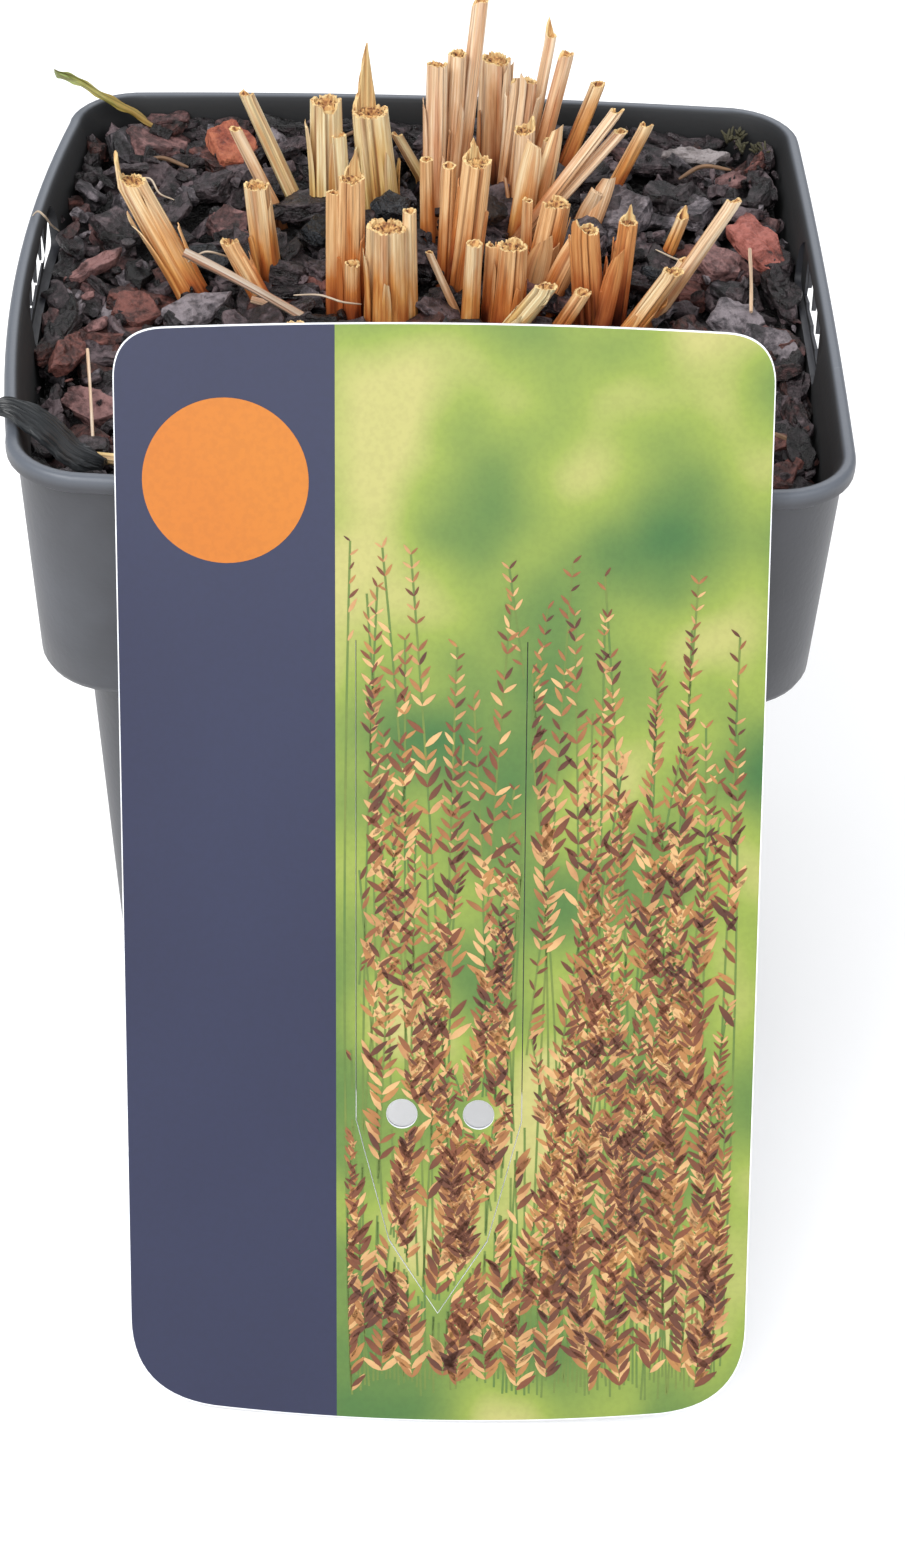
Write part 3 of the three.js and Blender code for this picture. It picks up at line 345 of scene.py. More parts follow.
# Leaves: the middle line, the widths along it, the direction across, and how far the edges hang.
LEAVES = {
    "green_blade": dict(route=[(-33.6, 40.4, 92.4), (-37.6, 40.8, 95), (-41, 40, 97.3),
                               (-44.2, 42.2, 98.2), (-47.4, 45.6, 97.6)],
                        widths=[1.6, 2.2, 2.4, 2.1, 1.2], across=(0.45, -0.89, -0.1),
                        thickness=0.6, cup=-0.2, ribs=5),
    "dead_leaf": dict(route=[(-47.2, -33.6, 97.4), (-44.6, -33.8, 98), (-41, -34, 96),
                             (-38, -33.6, 92.4), (-35, -33, 90.4)],
                      widths=[1.2, 3.4, 5, 4.8, 2], across=(0.25, 0.97, 0),
                      thickness=0.6, cup=0.3, ribs=7),
}


def seeded_random(seed):
    """The repeatable draw between 0 and 1 that the solids use, so that both draw the same shapes."""
    state = seed

    def draw():
        nonlocal state
        state = (state * 1664525 + 1013904223) % 4294967296
        return state / 4294967296

    return draw


def bark_level(y):
    """Height of the bark's surface: lower at the front of the pot than at the back."""
    return POT_HEIGHT - BARK_BELOW_RIM + BARK_SLOPE * y


def noise_at(points, scale, offset=0.0, detail=3):
    """Smooth noise between about -1 and 1 at each point, with bumps about scale millimetres apart."""
    shift = Vector((offset * 7.13, offset * 3.71, offset * 5.37))
    return np.array([noise.fractal(Vector(p) / scale + shift, 0.7, 2.0, detail) for p in points])


def body_of(points, quads, triangles, quad_finish=0, triangle_finish=0):
    """One closed body: its points, its faces, and the material number of each face."""
    return {
        "points": points,
        "grain": points.copy(),
        "growth": np.zeros_like(points),
        "quads": quads,
        "triangles": triangles,
        "quad_finish": np.broadcast_to(quad_finish, len(quads)).copy(),
        "triangle_finish": np.broadcast_to(triangle_finish, len(triangles)).copy(),
    }


def loft(rings, finishes=0, end_finishes=(0, 0)):
    """A closed body through rings of equal length. Rings run anticlockwise as seen from the last one."""
    rings = np.asarray(rings, float)
    levels, count, _ = rings.shape
    here = np.arange(count)
    after = (here + 1) % count
    low = (np.arange(levels - 1) * count)[:, None]
    quads = np.stack([low + here, low + after, low + count + after, low + count + here], -1)
    quads = quads.reshape(-1, 4)
    middle = levels * count
    last = middle - count
    start_cap = np.stack([np.full(count, middle), after, here], -1)
    end_cap = np.stack([np.full(count, middle + 1), last + here, last + after], -1)
    points = np.vstack([rings.reshape(-1, 3), rings[0].mean(0), rings[-1].mean(0)])
    made = body_of(points, quads, np.vstack([start_cap, end_cap]))
    made["quad_finish"] = np.repeat(np.broadcast_to(finishes, levels - 1), count)
    made["triangle_finish"] = np.repeat(end_finishes, count)
    return made


def moved(body, matrix):
    """The same body, turned and moved. Its grain stays as it grew."""
    turn = np.array(matrix.to_3x3())
    shift = np.array(matrix.to_translation())
    return {**body, "points": body["points"] @ turn.T + shift}


def fused(bodies):
    """Several bodies as the data of one mesh."""
    starts = np.cumsum([0] + [len(body["points"]) for body in bodies[:-1]])
    joined = {key: np.concatenate([body[key] for body in bodies])
              for key in ("points", "grain", "growth", "quad_finish", "triangle_finish")}
    for key in ("quads", "triangles"):
        joined[key] = np.concatenate([body[key] + start for body, start in zip(bodies, starts)])
    return joined


def new_object(name, data):
    """An object in the scene that shows a mesh, a lamp or the like."""
    made = bpy.data.objects.new(name, data)
    bpy.context.scene.collection.objects.link(made)
    return made


def add_mesh(name, bodies, sharp_angle):
    """An object, in metres, made of closed bodies, with their grain and growth kept on its points."""
    joined = fused(bodies)
    mesh = bpy.data.meshes.new(name)
    faces = joined["quads"].tolist() + joined["triangles"].tolist()
    mesh.from_pydata((joined["points"] * MM).tolist(), [], faces)
    mesh.polygons.foreach_set(
        "material_index", np.concatenate([joined["quad_finish"], joined["triangle_finish"]]))
    for key in ("grain", "growth"):
        kept = mesh.attributes.new(key, "FLOAT_VECTOR", "POINT")
        kept.data.foreach_set("vector", joined[key].astype(np.float32).ravel())
    mesh.shade_smooth()
    mesh.set_sharp_from_angle(angle=math.radians(sharp_angle))
    return new_object(name, mesh)


def finish_piece(piece, materials, slot, replaced=()):
    """Gives a piece its materials and its place in the part."""
    for material in materials:
        piece.data.materials.append(material)
    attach(piece, "root")
    if replaced:
        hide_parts(*replaced)
    return piece


def add_piece(name, bodies, materials, slot, replaced=(), sharp_angle=40):
    return finish_piece(add_mesh(name, bodies, sharp_angle), materials, slot, replaced)


def smooth_route(points, steps):
    """Points along a smooth curve through the given ones."""
    points = np.asarray(points, float)
    padded = np.vstack([2 * points[0] - points[1], points, 2 * points[-1] - points[-2]])
    share = np.linspace(0, 1, steps, endpoint=False)[:, None]
    route = []
    for before, start, end, after in zip(padded, padded[1:], padded[2:], padded[3:]):
        bend = 2 * before - 5 * start + 4 * end - after
        twist = 3 * start - before - 3 * end + after
        route.append(start + 0.5 * share * (end - before + share * (bend + share * twist)))
    return np.vstack([*route, points[-1:]])


def lengths_along(route):
    """How far along a route each of its points is."""
    return np.concatenate([[0], np.cumsum(np.linalg.norm(np.diff(route, axis=0), axis=1))])


def route_frames(route, first_across=(0.3, 0.2, 1)):
    """A direction across and one above for each point of a route, turning as little as it can."""
    ahead = np.gradient(route, axis=0)
    ahead /= np.linalg.norm(ahead, axis=1)[:, None]
    across = np.array(first_across)
    pairs = []
    for direction in ahead:
        across = across - direction * (across @ direction)
        across /= np.linalg.norm(across)
        pairs.append((across, np.cross(direction, across)))
    return pairs


def with_grain(body, grain, growth):
    """Keeps where each point was on the straight, unbent plant, for the pattern of its material."""
    ends = len(body["points"]) - len(grain)
    body["grain"] = np.vstack([grain, grain[:1], grain[-1:]])[: len(grain) + ends]
    body["growth"] = np.vstack([growth, growth[:1], growth[-1:]])[: len(growth) + ends]
    return body


def stalk(route, radii, sides, seed, ribs=0.0):
    """A round stalk along a route, with lengthwise ribs."""
    draw = seeded_random(seed)
    offset = 900 * draw()
    tone = draw()
    angles = 2 * np.pi * np.arange(sides) / sides
    lengths = lengths_along(route)
    rings, grain, growth = [], [], []
    for (across, above), centre, radius, along in zip(route_frames(route), route, radii, lengths):
        reach = radius * (1 - ribs * (np.arange(sides) % 2))
        side = (reach * np.cos(angles))[:, None]
        up = (reach * np.sin(angles))[:, None]
        rings.append(centre + side * across + up * above)
        grain.append(np.hstack([side + offset, up + offset, np.full((sides, 1), along + offset)]))
        growth.append(np.tile([along / lengths[-1], tone, 0.5], (sides, 1)))
    return with_grain(loft(rings), np.vstack(grain), np.vstack(growth))


def linear(hex_colour):
    """An sRGB hex colour as the linear colour that Blender's sockets take."""
    shares = [int(hex_colour[i:i + 2], 16) / 255 for i in (1, 3, 5)]
    return tuple(s / 12.92 if s <= 0.04045 else ((s + 0.055) / 1.055) ** 2.4 for s in shares) + (1,)


def output_of(source):
    """The output given, or the first output of the node given."""
    return source.outputs[0] if isinstance(source, bpy.types.Node) else source


def add_node(tree, kind, settings, links):
    """Adds one node. Settings are its properties, its sockets' values or a ramp's stops."""
    made = tree.nodes.new(kind)
    for key, value in settings.items():
        if key == "stops":
            while len(made.color_ramp.elements) < len(value):
                made.color_ramp.elements.new(1)
            for element, (place, colour) in zip(made.color_ramp.elements, value):
                element.position = place
                element.color = linear(colour)
        elif isinstance(key, str) and hasattr(made, key):
            setattr(made, key, value)
        else:
            made.inputs[key].default_value = value
    for key, source in links.items():
        tree.links.new(output_of(source), made.inputs[key])
    return made


def new_material(name, roughness, ior):
    """A material with one plain Principled shader, its node tree and that shader's sockets."""
    material = bpy.data.materials.new(name)
    material.use_nodes = True
    sockets = material.node_tree.nodes["Principled BSDF"].inputs
    sockets["Roughness"].default_value = roughness
    sockets["IOR"].default_value = ior
    return material, material.node_tree, sockets


def coloured(tree, sockets, colour, height=None, depth=0):
    """Links a shader's colour and, where a height is given, a relief of depth millimetres."""
    tree.links.new(output_of(colour), sockets["Base Color"])
    if height is not None:
        bump = add_node(tree, "ShaderNodeBump", {"Strength": 1, "Distance": depth * MM},
                        {"Height": height})
        tree.links.new(output_of(bump), sockets["Normal"])


def stretched_grain(tree, across, along):
    """The straight plant's coordinates, with one unit for each given distance in millimetres."""
    grain = add_node(tree, "ShaderNodeAttribute", {"attribute_name": "grain"}, {})
    return add_node(tree, "ShaderNodeVectorMath", {
        "operation": "MULTIPLY", 1: (1 / across, 1 / across, 1 / along),
    }, {0: grain.outputs["Vector"]})


def own_growth(tree):
    """What each point knows of its growth: X is the share of its height, Y the tone of its piece,
    and Z how near a seam or an edge it is."""
    growth = add_node(tree, "ShaderNodeAttribute", {"attribute_name": "growth"}, {})
    return add_node(tree, "ShaderNodeSeparateXYZ", {}, {"Vector": growth.outputs["Vector"]}).outputs


# The numbers of a Mix node's sockets when it mixes colours: its share, the colour under, the one
# over it, and the result
SHARE, UNDER, OVER, RESULT = 0, 6, 7, 2


def painted_inward_shade(tree, place):
    """How far painted shade darkens each face of the pot: not at all where it looks outwards, and
    nearly black where it looks inwards."""
    facing = add_node(tree, "ShaderNodeTexCoord", {}, {}).outputs["Normal"]
    sideways = add_node(tree, "ShaderNodeVectorMath", {"operation": "MULTIPLY", 1: (1, 1, 0)},
                        {0: place})
    outwards = add_node(tree, "ShaderNodeVectorMath", {"operation": "NORMALIZE"}, {0: sideways})
    turned = add_node(tree, "ShaderNodeVectorMath", {"operation": "DOT_PRODUCT"},
                      {0: facing, 1: outwards})
    return add_node(tree, "ShaderNodeMapRange", {"From Min": -0.2, "From Max": -0.7, "To Max": 0.9},
                    {"Value": turned.outputs["Value"]})


def pale_scuffs(tree, place, colour):
    """The colour with thin pale scratches, mostly up and down, where the pot was handled."""
    stretched = add_node(tree, "ShaderNodeVectorMath", {"operation": "MULTIPLY", 1: (1, 1, 0.35)},
                         {0: place})
    scratch = add_node(tree, "ShaderNodeTexNoise", {"Scale": 330, "Detail": 3, "Distortion": 1.5},
                       {"Vector": stretched})
    scuffs = add_node(tree, "ShaderNodeValToRGB", {"stops": [(0.72, "#000000"), (0.8, "#8a8a8a")]},
                      {"Fac": scratch})
    return add_node(tree, "ShaderNodeMix", {"data_type": "RGBA", OVER: linear("#a9abae")},
                    {SHARE: scuffs, UNDER: colour}).outputs[RESULT]


def moulded_polypropylene():
    """Dark grey polypropylene, injection moulded and reground: satin, with a faint mottle, a fine
    grain from the mould, pale scuffs, and a painted highlight along the lip, partly rubbed wear.
    Its faces that look into the pot get painted shade, near black, and are rougher."""
    material, tree, sockets = new_material("moulded_polypropylene", 0.5, 1.49)
    place = add_node(tree, "ShaderNodeTexCoord", {}, {}).outputs["Object"]
    mottle = add_node(tree, "ShaderNodeTexNoise", {"Scale": 45, "Detail": 4, "Roughness": 0.55},
                      {"Vector": place})
    body = add_node(tree, "ShaderNodeValToRGB", {
        "stops": [(0.3, "#292a2f"), (0.55, "#333439"), (0.75, "#404248")],
    }, {"Fac": mottle})
    height = add_node(tree, "ShaderNodeSeparateXYZ", {}, {"Vector": place}).outputs["Z"]
    # painted highlight: the top of the lip is mixed paler, partly rubbed wear
    lip = add_node(tree, "ShaderNodeMapRange", {
        "From Min": (POT_HEIGHT - 1.4) * MM, "From Max": (POT_HEIGHT - 0.2) * MM, "To Max": 0.6,
    }, {"Value": height})
    lip_highlit_and_rubbed = add_node(tree, "ShaderNodeMix", {"data_type": "RGBA", OVER: linear("#646a73")},
                      {SHARE: lip, UNDER: body}).outputs[RESULT]
    # painted shade: faces that look into the pot are mixed to near black, and made rougher
    inward_shade = painted_inward_shade(tree, place)
    inward_shaded = add_node(tree, "ShaderNodeMix", {"data_type": "RGBA", OVER: linear("#060708")},
                       {SHARE: inward_shade, UNDER: pale_scuffs(tree, place, lip_highlit_and_rubbed)}).outputs[RESULT]
    shine = add_node(tree, "ShaderNodeMapRange", {"To Min": 0.36, "To Max": 0.56}, {"Value": mottle})
    dulled = add_node(tree, "ShaderNodeMath", {"operation": "MULTIPLY_ADD", 1: 0.35},
                      {0: inward_shade, 2: shine})
    tree.links.new(output_of(dulled), sockets["Roughness"])
    sockets["Coat Weight"].default_value = 0.1
    sockets["Coat Roughness"].default_value = 0.42
    grain = add_node(tree, "ShaderNodeTexNoise", {"Scale": 1400, "Detail": 2}, {"Vector": place})
    coloured(tree, sockets, inward_shaded, grain, 0.03)
    return material


def peat_mix():
    """Damp peat-like potting mix: near-black brown crumbs about 1.5 mm across, rough and matt."""
    material, tree, sockets = new_material("peat_mix", 0.85, 1.45)
    place = add_node(tree, "ShaderNodeTexCoord", {}, {}).outputs["Object"]
    crumbs = add_node(tree, "ShaderNodeTexVoronoi", {"Scale": 650}, {"Vector": place})
    colour = add_node(tree, "ShaderNodeValToRGB", {
        "stops": [(0.0, "#2f231e"), (0.55, "#1f1714"), (1.0, "#0e0a09")],
    }, {"Fac": crumbs})
    coloured(tree, sockets, colour, crumbs, -0.6)
    return material


# Each kind of bark: its shade in the cracks, its body, its paler plates, and how rough it is.
BARKS = {
    "dark": ("#090808", "#211b1d", "#4d4346", 0.42),
    "plum": ("#0d0a0b", "#32282b", "#655659", 0.5),
    "rust": ("#140b09", "#432622", "#784a42", 0.6),
    "rose": ("#180e0e", "#503534", "#8a6562", 0.66),
    "orange": ("#2a100b", "#88402c", "#b0674b", 0.8),
    "fresh": ("#24110e", "#7a3a2e", "#a9655a", 0.7),
    "grey": ("#131113", "#433d41", "#857c80", 0.58),
    "pale": ("#332c2d", "#6e6665", "#989090", 0.85),
    "wet": ("#040506", "#101215", "#2a2f35", 0.25),
}


def pine_bark(kind):
    """Broken pine bark: fibres about 0.9 mm apart and laminated plates, each chip a little lighter
    or darker than the next, with damp patches that shine."""
    crack, ground, plate, roughness = BARKS[kind]
    material, tree, sockets = new_material("pine_bark_" + kind, roughness, 1.45)
    fibres = add_node(tree, "ShaderNodeTexNoise", {"Scale": 1, "Detail": 5, "Roughness": 0.65},
                      {"Vector": stretched_grain(tree, 0.9, 0.9)})
    plates = add_node(tree, "ShaderNodeTexNoise", {"Scale": 1, "Detail": 4, "Distortion": 0.6},
                      {"Vector": stretched_grain(tree, 3.2, 1.1)})
    both = add_node(tree, "ShaderNodeMath", {"operation": "MULTIPLY_ADD", 1: 0.9},
                    {0: fibres, 2: plates})
    lighter = add_node(tree, "ShaderNodeMath", {"operation": "MULTIPLY_ADD", 1: 0.34},
                       {0: own_growth(tree)["Y"], 2: both})
    shade = add_node(tree, "ShaderNodeMapRange", {"From Min": 0.86, "From Max": 1.4},
                     {"Value": lighter})
    colour = add_node(tree, "ShaderNodeValToRGB", {
        "stops": [(0.08, crack), (0.5, ground), (0.95, plate)],
    }, {"Fac": shade})
    damp = add_node(tree, "ShaderNodeMapRange", {
        "From Min": 0.35, "From Max": 0.6, "To Min": roughness - 0.25, "To Max": roughness,
    }, {"Value": plates})
    tree.links.new(output_of(damp), sockets["Roughness"])
    coloured(tree, sockets, colour, both, 0.8)
    return material


# Straw colours from the foot to the cut: (share of the height, colour). The dark stops at the
# # foot are partly foxing and partly painted shade near the bark.
STRAWS_BY_TONE = {
    "golden": [(0.0, "#6a3015"), (0.18, "#b2622b"), (0.5, "#dda15c"), (0.95, "#f3dcb2")],
    "tan": [(0.0, "#552d1d"), (0.2, "#a86e46"), (0.55, "#d8aa7e"), (0.95, "#f0dabb")],
    "amber": [(0.0, "#5e2712"), (0.2, "#a8562a"), (0.55, "#d08748"), (0.95, "#eec795")],
    "foxed": [(0.0, "#451a0c"), (0.25, "#8a4322"), (0.6, "#bf7440"), (0.95, "#e3a86c")],
    "pale": [(0.0, "#74502a"), (0.15, "#c29450"), (0.45, "#e2c685"), (0.95, "#f2e6bc")],
    "bleached": [(0.0, "#6f543f"), (0.15, "#b08d70"), (0.45, "#d0b497"), (0.95, "#e2cfb8")],
    "weathered": [(0.0, "#5a4e45"), (0.3, "#85776a"), (0.7, "#a89b8c"), (1.0, "#c2b8aa")],
}


def dry_straw(tone):
    """Dry grass sheath: a satin skin with lengthwise veins about 0.35 mm apart, paler towards the
    cut and foxed to rust at the foot, where it is also darkened as painted shade near the bark,
    and brown in the grooves of the seams, partly the sheaths' edges and partly painted shade."""
    material, tree, sockets = new_material("dry_straw_" + tone, 0.48, 1.5)
    own = own_growth(tree)
    clouds = add_node(tree, "ShaderNodeTexNoise", {"Scale": 1, "Detail": 3},
                      {"Vector": stretched_grain(tree, 1.6, 7)})
    shifted = add_node(tree, "ShaderNodeMath", {"operation": "MULTIPLY_ADD", 1: 1.3, 2: -0.7},
                       {0: clouds})
    toned = add_node(tree, "ShaderNodeMath", {"operation": "MULTIPLY_ADD", 1: 0.42},
                     {0: own["Y"], 2: shifted})
    height = add_node(tree, "ShaderNodeMath", {"operation": "ADD"}, {0: own["X"], 1: toned})
    # painted shade: the darkest stops at the foot stand partly for shade near the bark
    skin = add_node(tree, "ShaderNodeValToRGB", {"stops": STRAWS_BY_TONE[tone]}, {"Fac": height})
    veins = add_node(tree, "ShaderNodeTexNoise", {"Scale": 1, "Detail": 3, "Roughness": 0.6},
                     {"Vector": stretched_grain(tree, 0.34, 16)})
    vein_colour = add_node(tree, "ShaderNodeValToRGB", {
        "stops": [(0.3, "#6f4226"), (0.45, "#d8b384"), (0.6, "#ffffff")],
    }, {"Fac": veins})
    streaks = add_node(tree, "ShaderNodeTexNoise", {"Scale": 1, "Detail": 2},
                       {"Vector": stretched_grain(tree, 0.9, 24)})
    foxing = add_node(tree, "ShaderNodeMapRange", {"From Min": 0.5, "From Max": 0.66, "To Max": 0.6},
                      {"Value": streaks})
    foxed = add_node(tree, "ShaderNodeMix", {"data_type": "RGBA", OVER: linear("#b0642f")},
                     {SHARE: foxing, UNDER: skin}).outputs[RESULT]
    veined = add_node(tree, "ShaderNodeMix", {
        "data_type": "RGBA", "blend_type": "MULTIPLY", SHARE: 0.55,
    }, {UNDER: foxed, OVER: vein_colour}).outputs[RESULT]
    # the seams' grooves are browned: partly the sheaths' own edges, partly painted shade
    edges = add_node(tree, "ShaderNodeMapRange", {"From Min": 0.35, "From Max": 1, "To Max": 0.6},
                     {"Value": own["Z"]})
    seam_browned_and_shaded = add_node(tree, "ShaderNodeMix", {"data_type": "RGBA", OVER: linear("#6e3c1e")},
                       {SHARE: edges, UNDER: veined}).outputs[RESULT]
    coloured(tree, sockets, seam_browned_and_shaded, veins, 0.22)
    return material


def pored(name, roughness, ior, across, along, stops, depth):
    """A cut plant tissue with pores, coloured from their middles to the walls between them."""
    material, tree, sockets = new_material(name, roughness, ior)
    pores = add_node(tree, "ShaderNodeTexVoronoi", {"Scale": 1},
                     {"Vector": stretched_grain(tree, across, along)})
    colour = add_node(tree, "ShaderNodeValToRGB", {"stops": stops}, {"Fac": pores})
    coloured(tree, sockets, colour, pores, depth)
    return material


def cut_sheath():
    """The cut face of the sheaths: pale, chopped across, with open vessels 0.4 mm apart."""
    stops = [(0.0, "#6a4527"), (0.25, "#b98c58"), (0.6, "#dcbf88")]
    return pored("cut_sheath", 0.75, 1.5, 0.42, 0.8, stops, 0.3)


def dry_pith():
    """The dried pith in a thick culm: spongy, tan with dark red-brown pores 0.45 mm apart."""
    stops = [(0.0, "#2a150f"), (0.25, "#7b4c30"), (0.5, "#bd8a54"), (0.8, "#dcb477")]
    return pored("dry_pith", 0.9, 1.45, 0.45, 0.6, stops, 0.4)


def grass_blade(name, stops, vein, roughness):
    """A dry or dying grass blade: parallel veins about 0.5 mm apart and blotches along it."""
    material, tree, sockets = new_material(name, roughness, 1.45)
    blotches = add_node(tree, "ShaderNodeTexNoise", {"Scale": 1, "Detail": 3},
                        {"Vector": stretched_grain(tree, 1.4, 3)})
    place = add_node(tree, "ShaderNodeMath", {"operation": "MULTIPLY_ADD", 1: 0.5, 2: -0.25},
                     {0: blotches})
    along = add_node(tree, "ShaderNodeMath", {"operation": "ADD"}, {0: own_growth(tree)["X"], 1: place})
    skin = add_node(tree, "ShaderNodeValToRGB", {"stops": stops}, {"Fac": along})
    veins = add_node(tree, "ShaderNodeTexNoise", {"Scale": 1, "Detail": 2},
                     {"Vector": stretched_grain(tree, 0.5, 25)})
    share = add_node(tree, "ShaderNodeMapRange", {"From Min": 0.52, "From Max": 0.7},
                     {"Value": veins})
    veined = add_node(tree, "ShaderNodeMix", {"data_type": "RGBA", OVER: linear(vein)},
                      {SHARE: share, UNDER: skin}).outputs[RESULT]
    coloured(tree, sockets, veined, veins, 0.3)
    return material


def plain_fibre(name, colour, roughness):
    """A hair or root thread, too thin for a pattern to show but for a slight change of tone."""
    material, tree, sockets = new_material(name, roughness, 1.5)
    tones = add_node(tree, "ShaderNodeTexNoise", {"Scale": 1, "Detail": 2},
                     {"Vector": stretched_grain(tree, 2, 2)})
    tint = add_node(tree, "ShaderNodeValToRGB", {"stops": [(0.3, "#8f8378"), (0.7, "#ffffff")]},
                    {"Fac": tones})
    toned = add_node(tree, "ShaderNodeMix", {
        "data_type": "RGBA", "blend_type": "MULTIPLY", SHARE: 0.6, UNDER: linear(colour),
    }, {OVER: tint}).outputs[RESULT]
    coloured(tree, sockets, toned)
    return material


def label_plastic():
    """White polystyrene card, extruded and punched: smooth, faintly waxy at its edges."""
    material, tree, sockets = new_material("white_polystyrene", 0.35, 1.59)
    place = add_node(tree, "ShaderNodeTexCoord", {}, {}).outputs["Object"]
    cloud = add_node(tree, "ShaderNodeTexNoise", {"Scale": 60, "Detail": 3}, {"Vector": place})
    colour = add_node(tree, "ShaderNodeValToRGB", {"stops": [(0.3, "#dfe2e8"), (0.7, "#f0f1f3")]},
                      {"Fac": cloud})
    coloured(tree, sockets, colour, cloud, 0.02)
    return material


def offset_ink(name, stops, patch):
    """Offset printing ink on the card: even and semi-gloss, with soft patches about patch
    millimetres across and a dot screen too fine to show but as a slight grain."""
    material, tree, sockets = new_material(name, 0.42, 1.5)
    place = add_node(tree, "ShaderNodeTexCoord", {}, {}).outputs["Object"]
    patches = add_node(tree, "ShaderNodeTexNoise", {
        "Scale": 1000 / patch, "Detail": 1.5, "Roughness": 0.4,
    }, {"Vector": place})
    colour = add_node(tree, "ShaderNodeValToRGB", {"stops": stops}, {"Fac": patches})
    screen = add_node(tree, "ShaderNodeTexNoise", {"Scale": 1800, "Detail": 1}, {"Vector": place})
    grain = add_node(tree, "ShaderNodeValToRGB", {"stops": [(0.35, "#ececec"), (0.6, "#ffffff")]},
                     {"Fac": screen})
    printed = add_node(tree, "ShaderNodeMix", {
        "data_type": "RGBA", "blend_type": "MULTIPLY", SHARE: 0.4,
    }, {UNDER: colour, OVER: grain}).outputs[RESULT]
    coloured(tree, sockets, printed)
    return material


def pale_board():
    """A white board that the pot stands on: matt and even, lit a little from below so that only
    faint shadows show on it."""
    material, tree, sockets = new_material("white_board", 0.8, 1.45)
    place = add_node(tree, "ShaderNodeTexCoord", {}, {}).outputs["Object"]
    cloud = add_node(tree, "ShaderNodeTexNoise", {"Scale": 4, "Detail": 3}, {"Vector": place})
    colour = add_node(tree, "ShaderNodeValToRGB", {"stops": [(0.3, "#f1f1f1"), (0.7, "#f6f6f6")]},
                      {"Fac": cloud})
    coloured(tree, sockets, colour)
    sockets["Emission Color"].default_value = linear("#ffffff")
    sockets["Emission Strength"].default_value = 0.16
    return material


def square_ring(half_width, radius, z, bulge_share):
    """Rounded square whose sides bulge out in shallow curves, anticlockwise from the right side."""
    flat = half_width - radius
    sides = ["right", "back", "left", "front"]
    points = []
    for turn, side in enumerate(sides):
        reach = half_width + 2 * RIM_BULGE[side] * bulge_share
        share = np.arange(SIDE_STEPS) / SIDE_STEPS
        x = (1 - share) ** 2 * half_width + 2 * share * (1 - share) * reach + share ** 2 * half_width
        y = flat * (2 * share - 1)
        angle = (np.pi / 2) * np.arange(CORNER_STEPS) / CORNER_STEPS
        x = np.concatenate([x, flat + radius * np.cos(angle)])
        y = np.concatenate([y, flat + radius * np.sin(angle)])
        quarter = turn * math.pi / 2
        points.append(np.stack([
            x * math.cos(quarter) - y * math.sin(quarter),
            x * math.sin(quarter) + y * math.cos(quarter),
            np.full(len(x), z, float),
        ], 1))
    return np.vstack(points)


def collar_half_width(z):
    wall_top = RIM_HALF_WIDTH - LIP_OVERHANG
    return float(np.interp(z, [COLLAR_BOTTOM, POT_HEIGHT], [wall_top - COLLAR_DRAFT, wall_top]))


def body_half_width(z):
    return BODY_HALF_WIDTH_BASE + (BODY_HALF_WIDTH_TOP - BODY_HALF_WIDTH_BASE) * z / COLLAR_BOTTOM


def bulge_share_at(z):
    """How much of the rim's sideways bulge the collar has at a height."""
    return float(np.interp(z, [COLLAR_BOTTOM, POT_HEIGHT], [COLLAR_BOTTOM_BULGE_SHARE, 1]))


def collar_ring(z, inset):
    return square_ring(collar_half_width(z) - inset, RIM_CORNER_RADIUS - inset, z, bulge_share_at(z))


def pot_shell():
    """Up the outside, over the rounded lip and down the inside, as the solid goes."""
    def body(z, inset):
        return square_ring(body_half_width(z) - inset, BODY_CORNER_RADIUS - inset, z, 0)

    def lip(z, inset):
        return square_ring(RIM_HALF_WIDTH - inset, RIM_CORNER_RADIUS - inset, z, 1)

    under_lip = POT_HEIGHT - LIP_HEIGHT
    return loft([
        *[body(z, inset) for z, inset in FOOT_ROUND],
        *[body(z, 0) for z in np.linspace(12, COLLAR_BOTTOM - 2, 5)],
        body(COLLAR_BOTTOM - 1, 0),
        *[collar_ring(COLLAR_BOTTOM + up, inset) for up, inset in COLLAR_ROUND],
        *[collar_ring(z, 0) for z in np.linspace(72, under_lip - 1, 4)],
        collar_ring(under_lip - 0.15, 0),
        *[lip(under_lip + up, inset) for up, inset in LIP_ROUND],
        *[lip(POT_HEIGHT + up, inset) for up, inset in RIM_ROUND],
        collar_ring(POT_HEIGHT - 2.6, WALL),
        *[collar_ring(z, WALL) for z in (92, 84, 76)],
        collar_ring(COLLAR_BOTTOM + 1.6, WALL),
        collar_ring(COLLAR_BOTTOM + 0.6, WALL + 1.2),
        body(COLLAR_BOTTOM, WALL),
        body(30, WALL + 0.2),
        body(BASE_THICKNESS + 0.5, WALL + 0.4),
        body(BASE_THICKNESS, WALL + 0.9),
    ])


def on_wall(outline, side, depths):
    """Flat rings of an outline (along the wall, up) round the slot's middle, at depths inwards
    from the outside of the wall there."""
    z = POT_HEIGHT - SLOT_BELOW_RIM
    reach = collar_half_width(z) + RIM_BULGE[side] * bulge_share_at(z)
    rings = []
    for depth in depths:
        flat = [(reach - depth, SLOT_ALONG[side] + along, z + up) for along, up in outline]
        rings.append(np.array(flat) @ np.array(Matrix.Rotation(SLOT_TURN[side], 3, "Z")).T)
    return rings


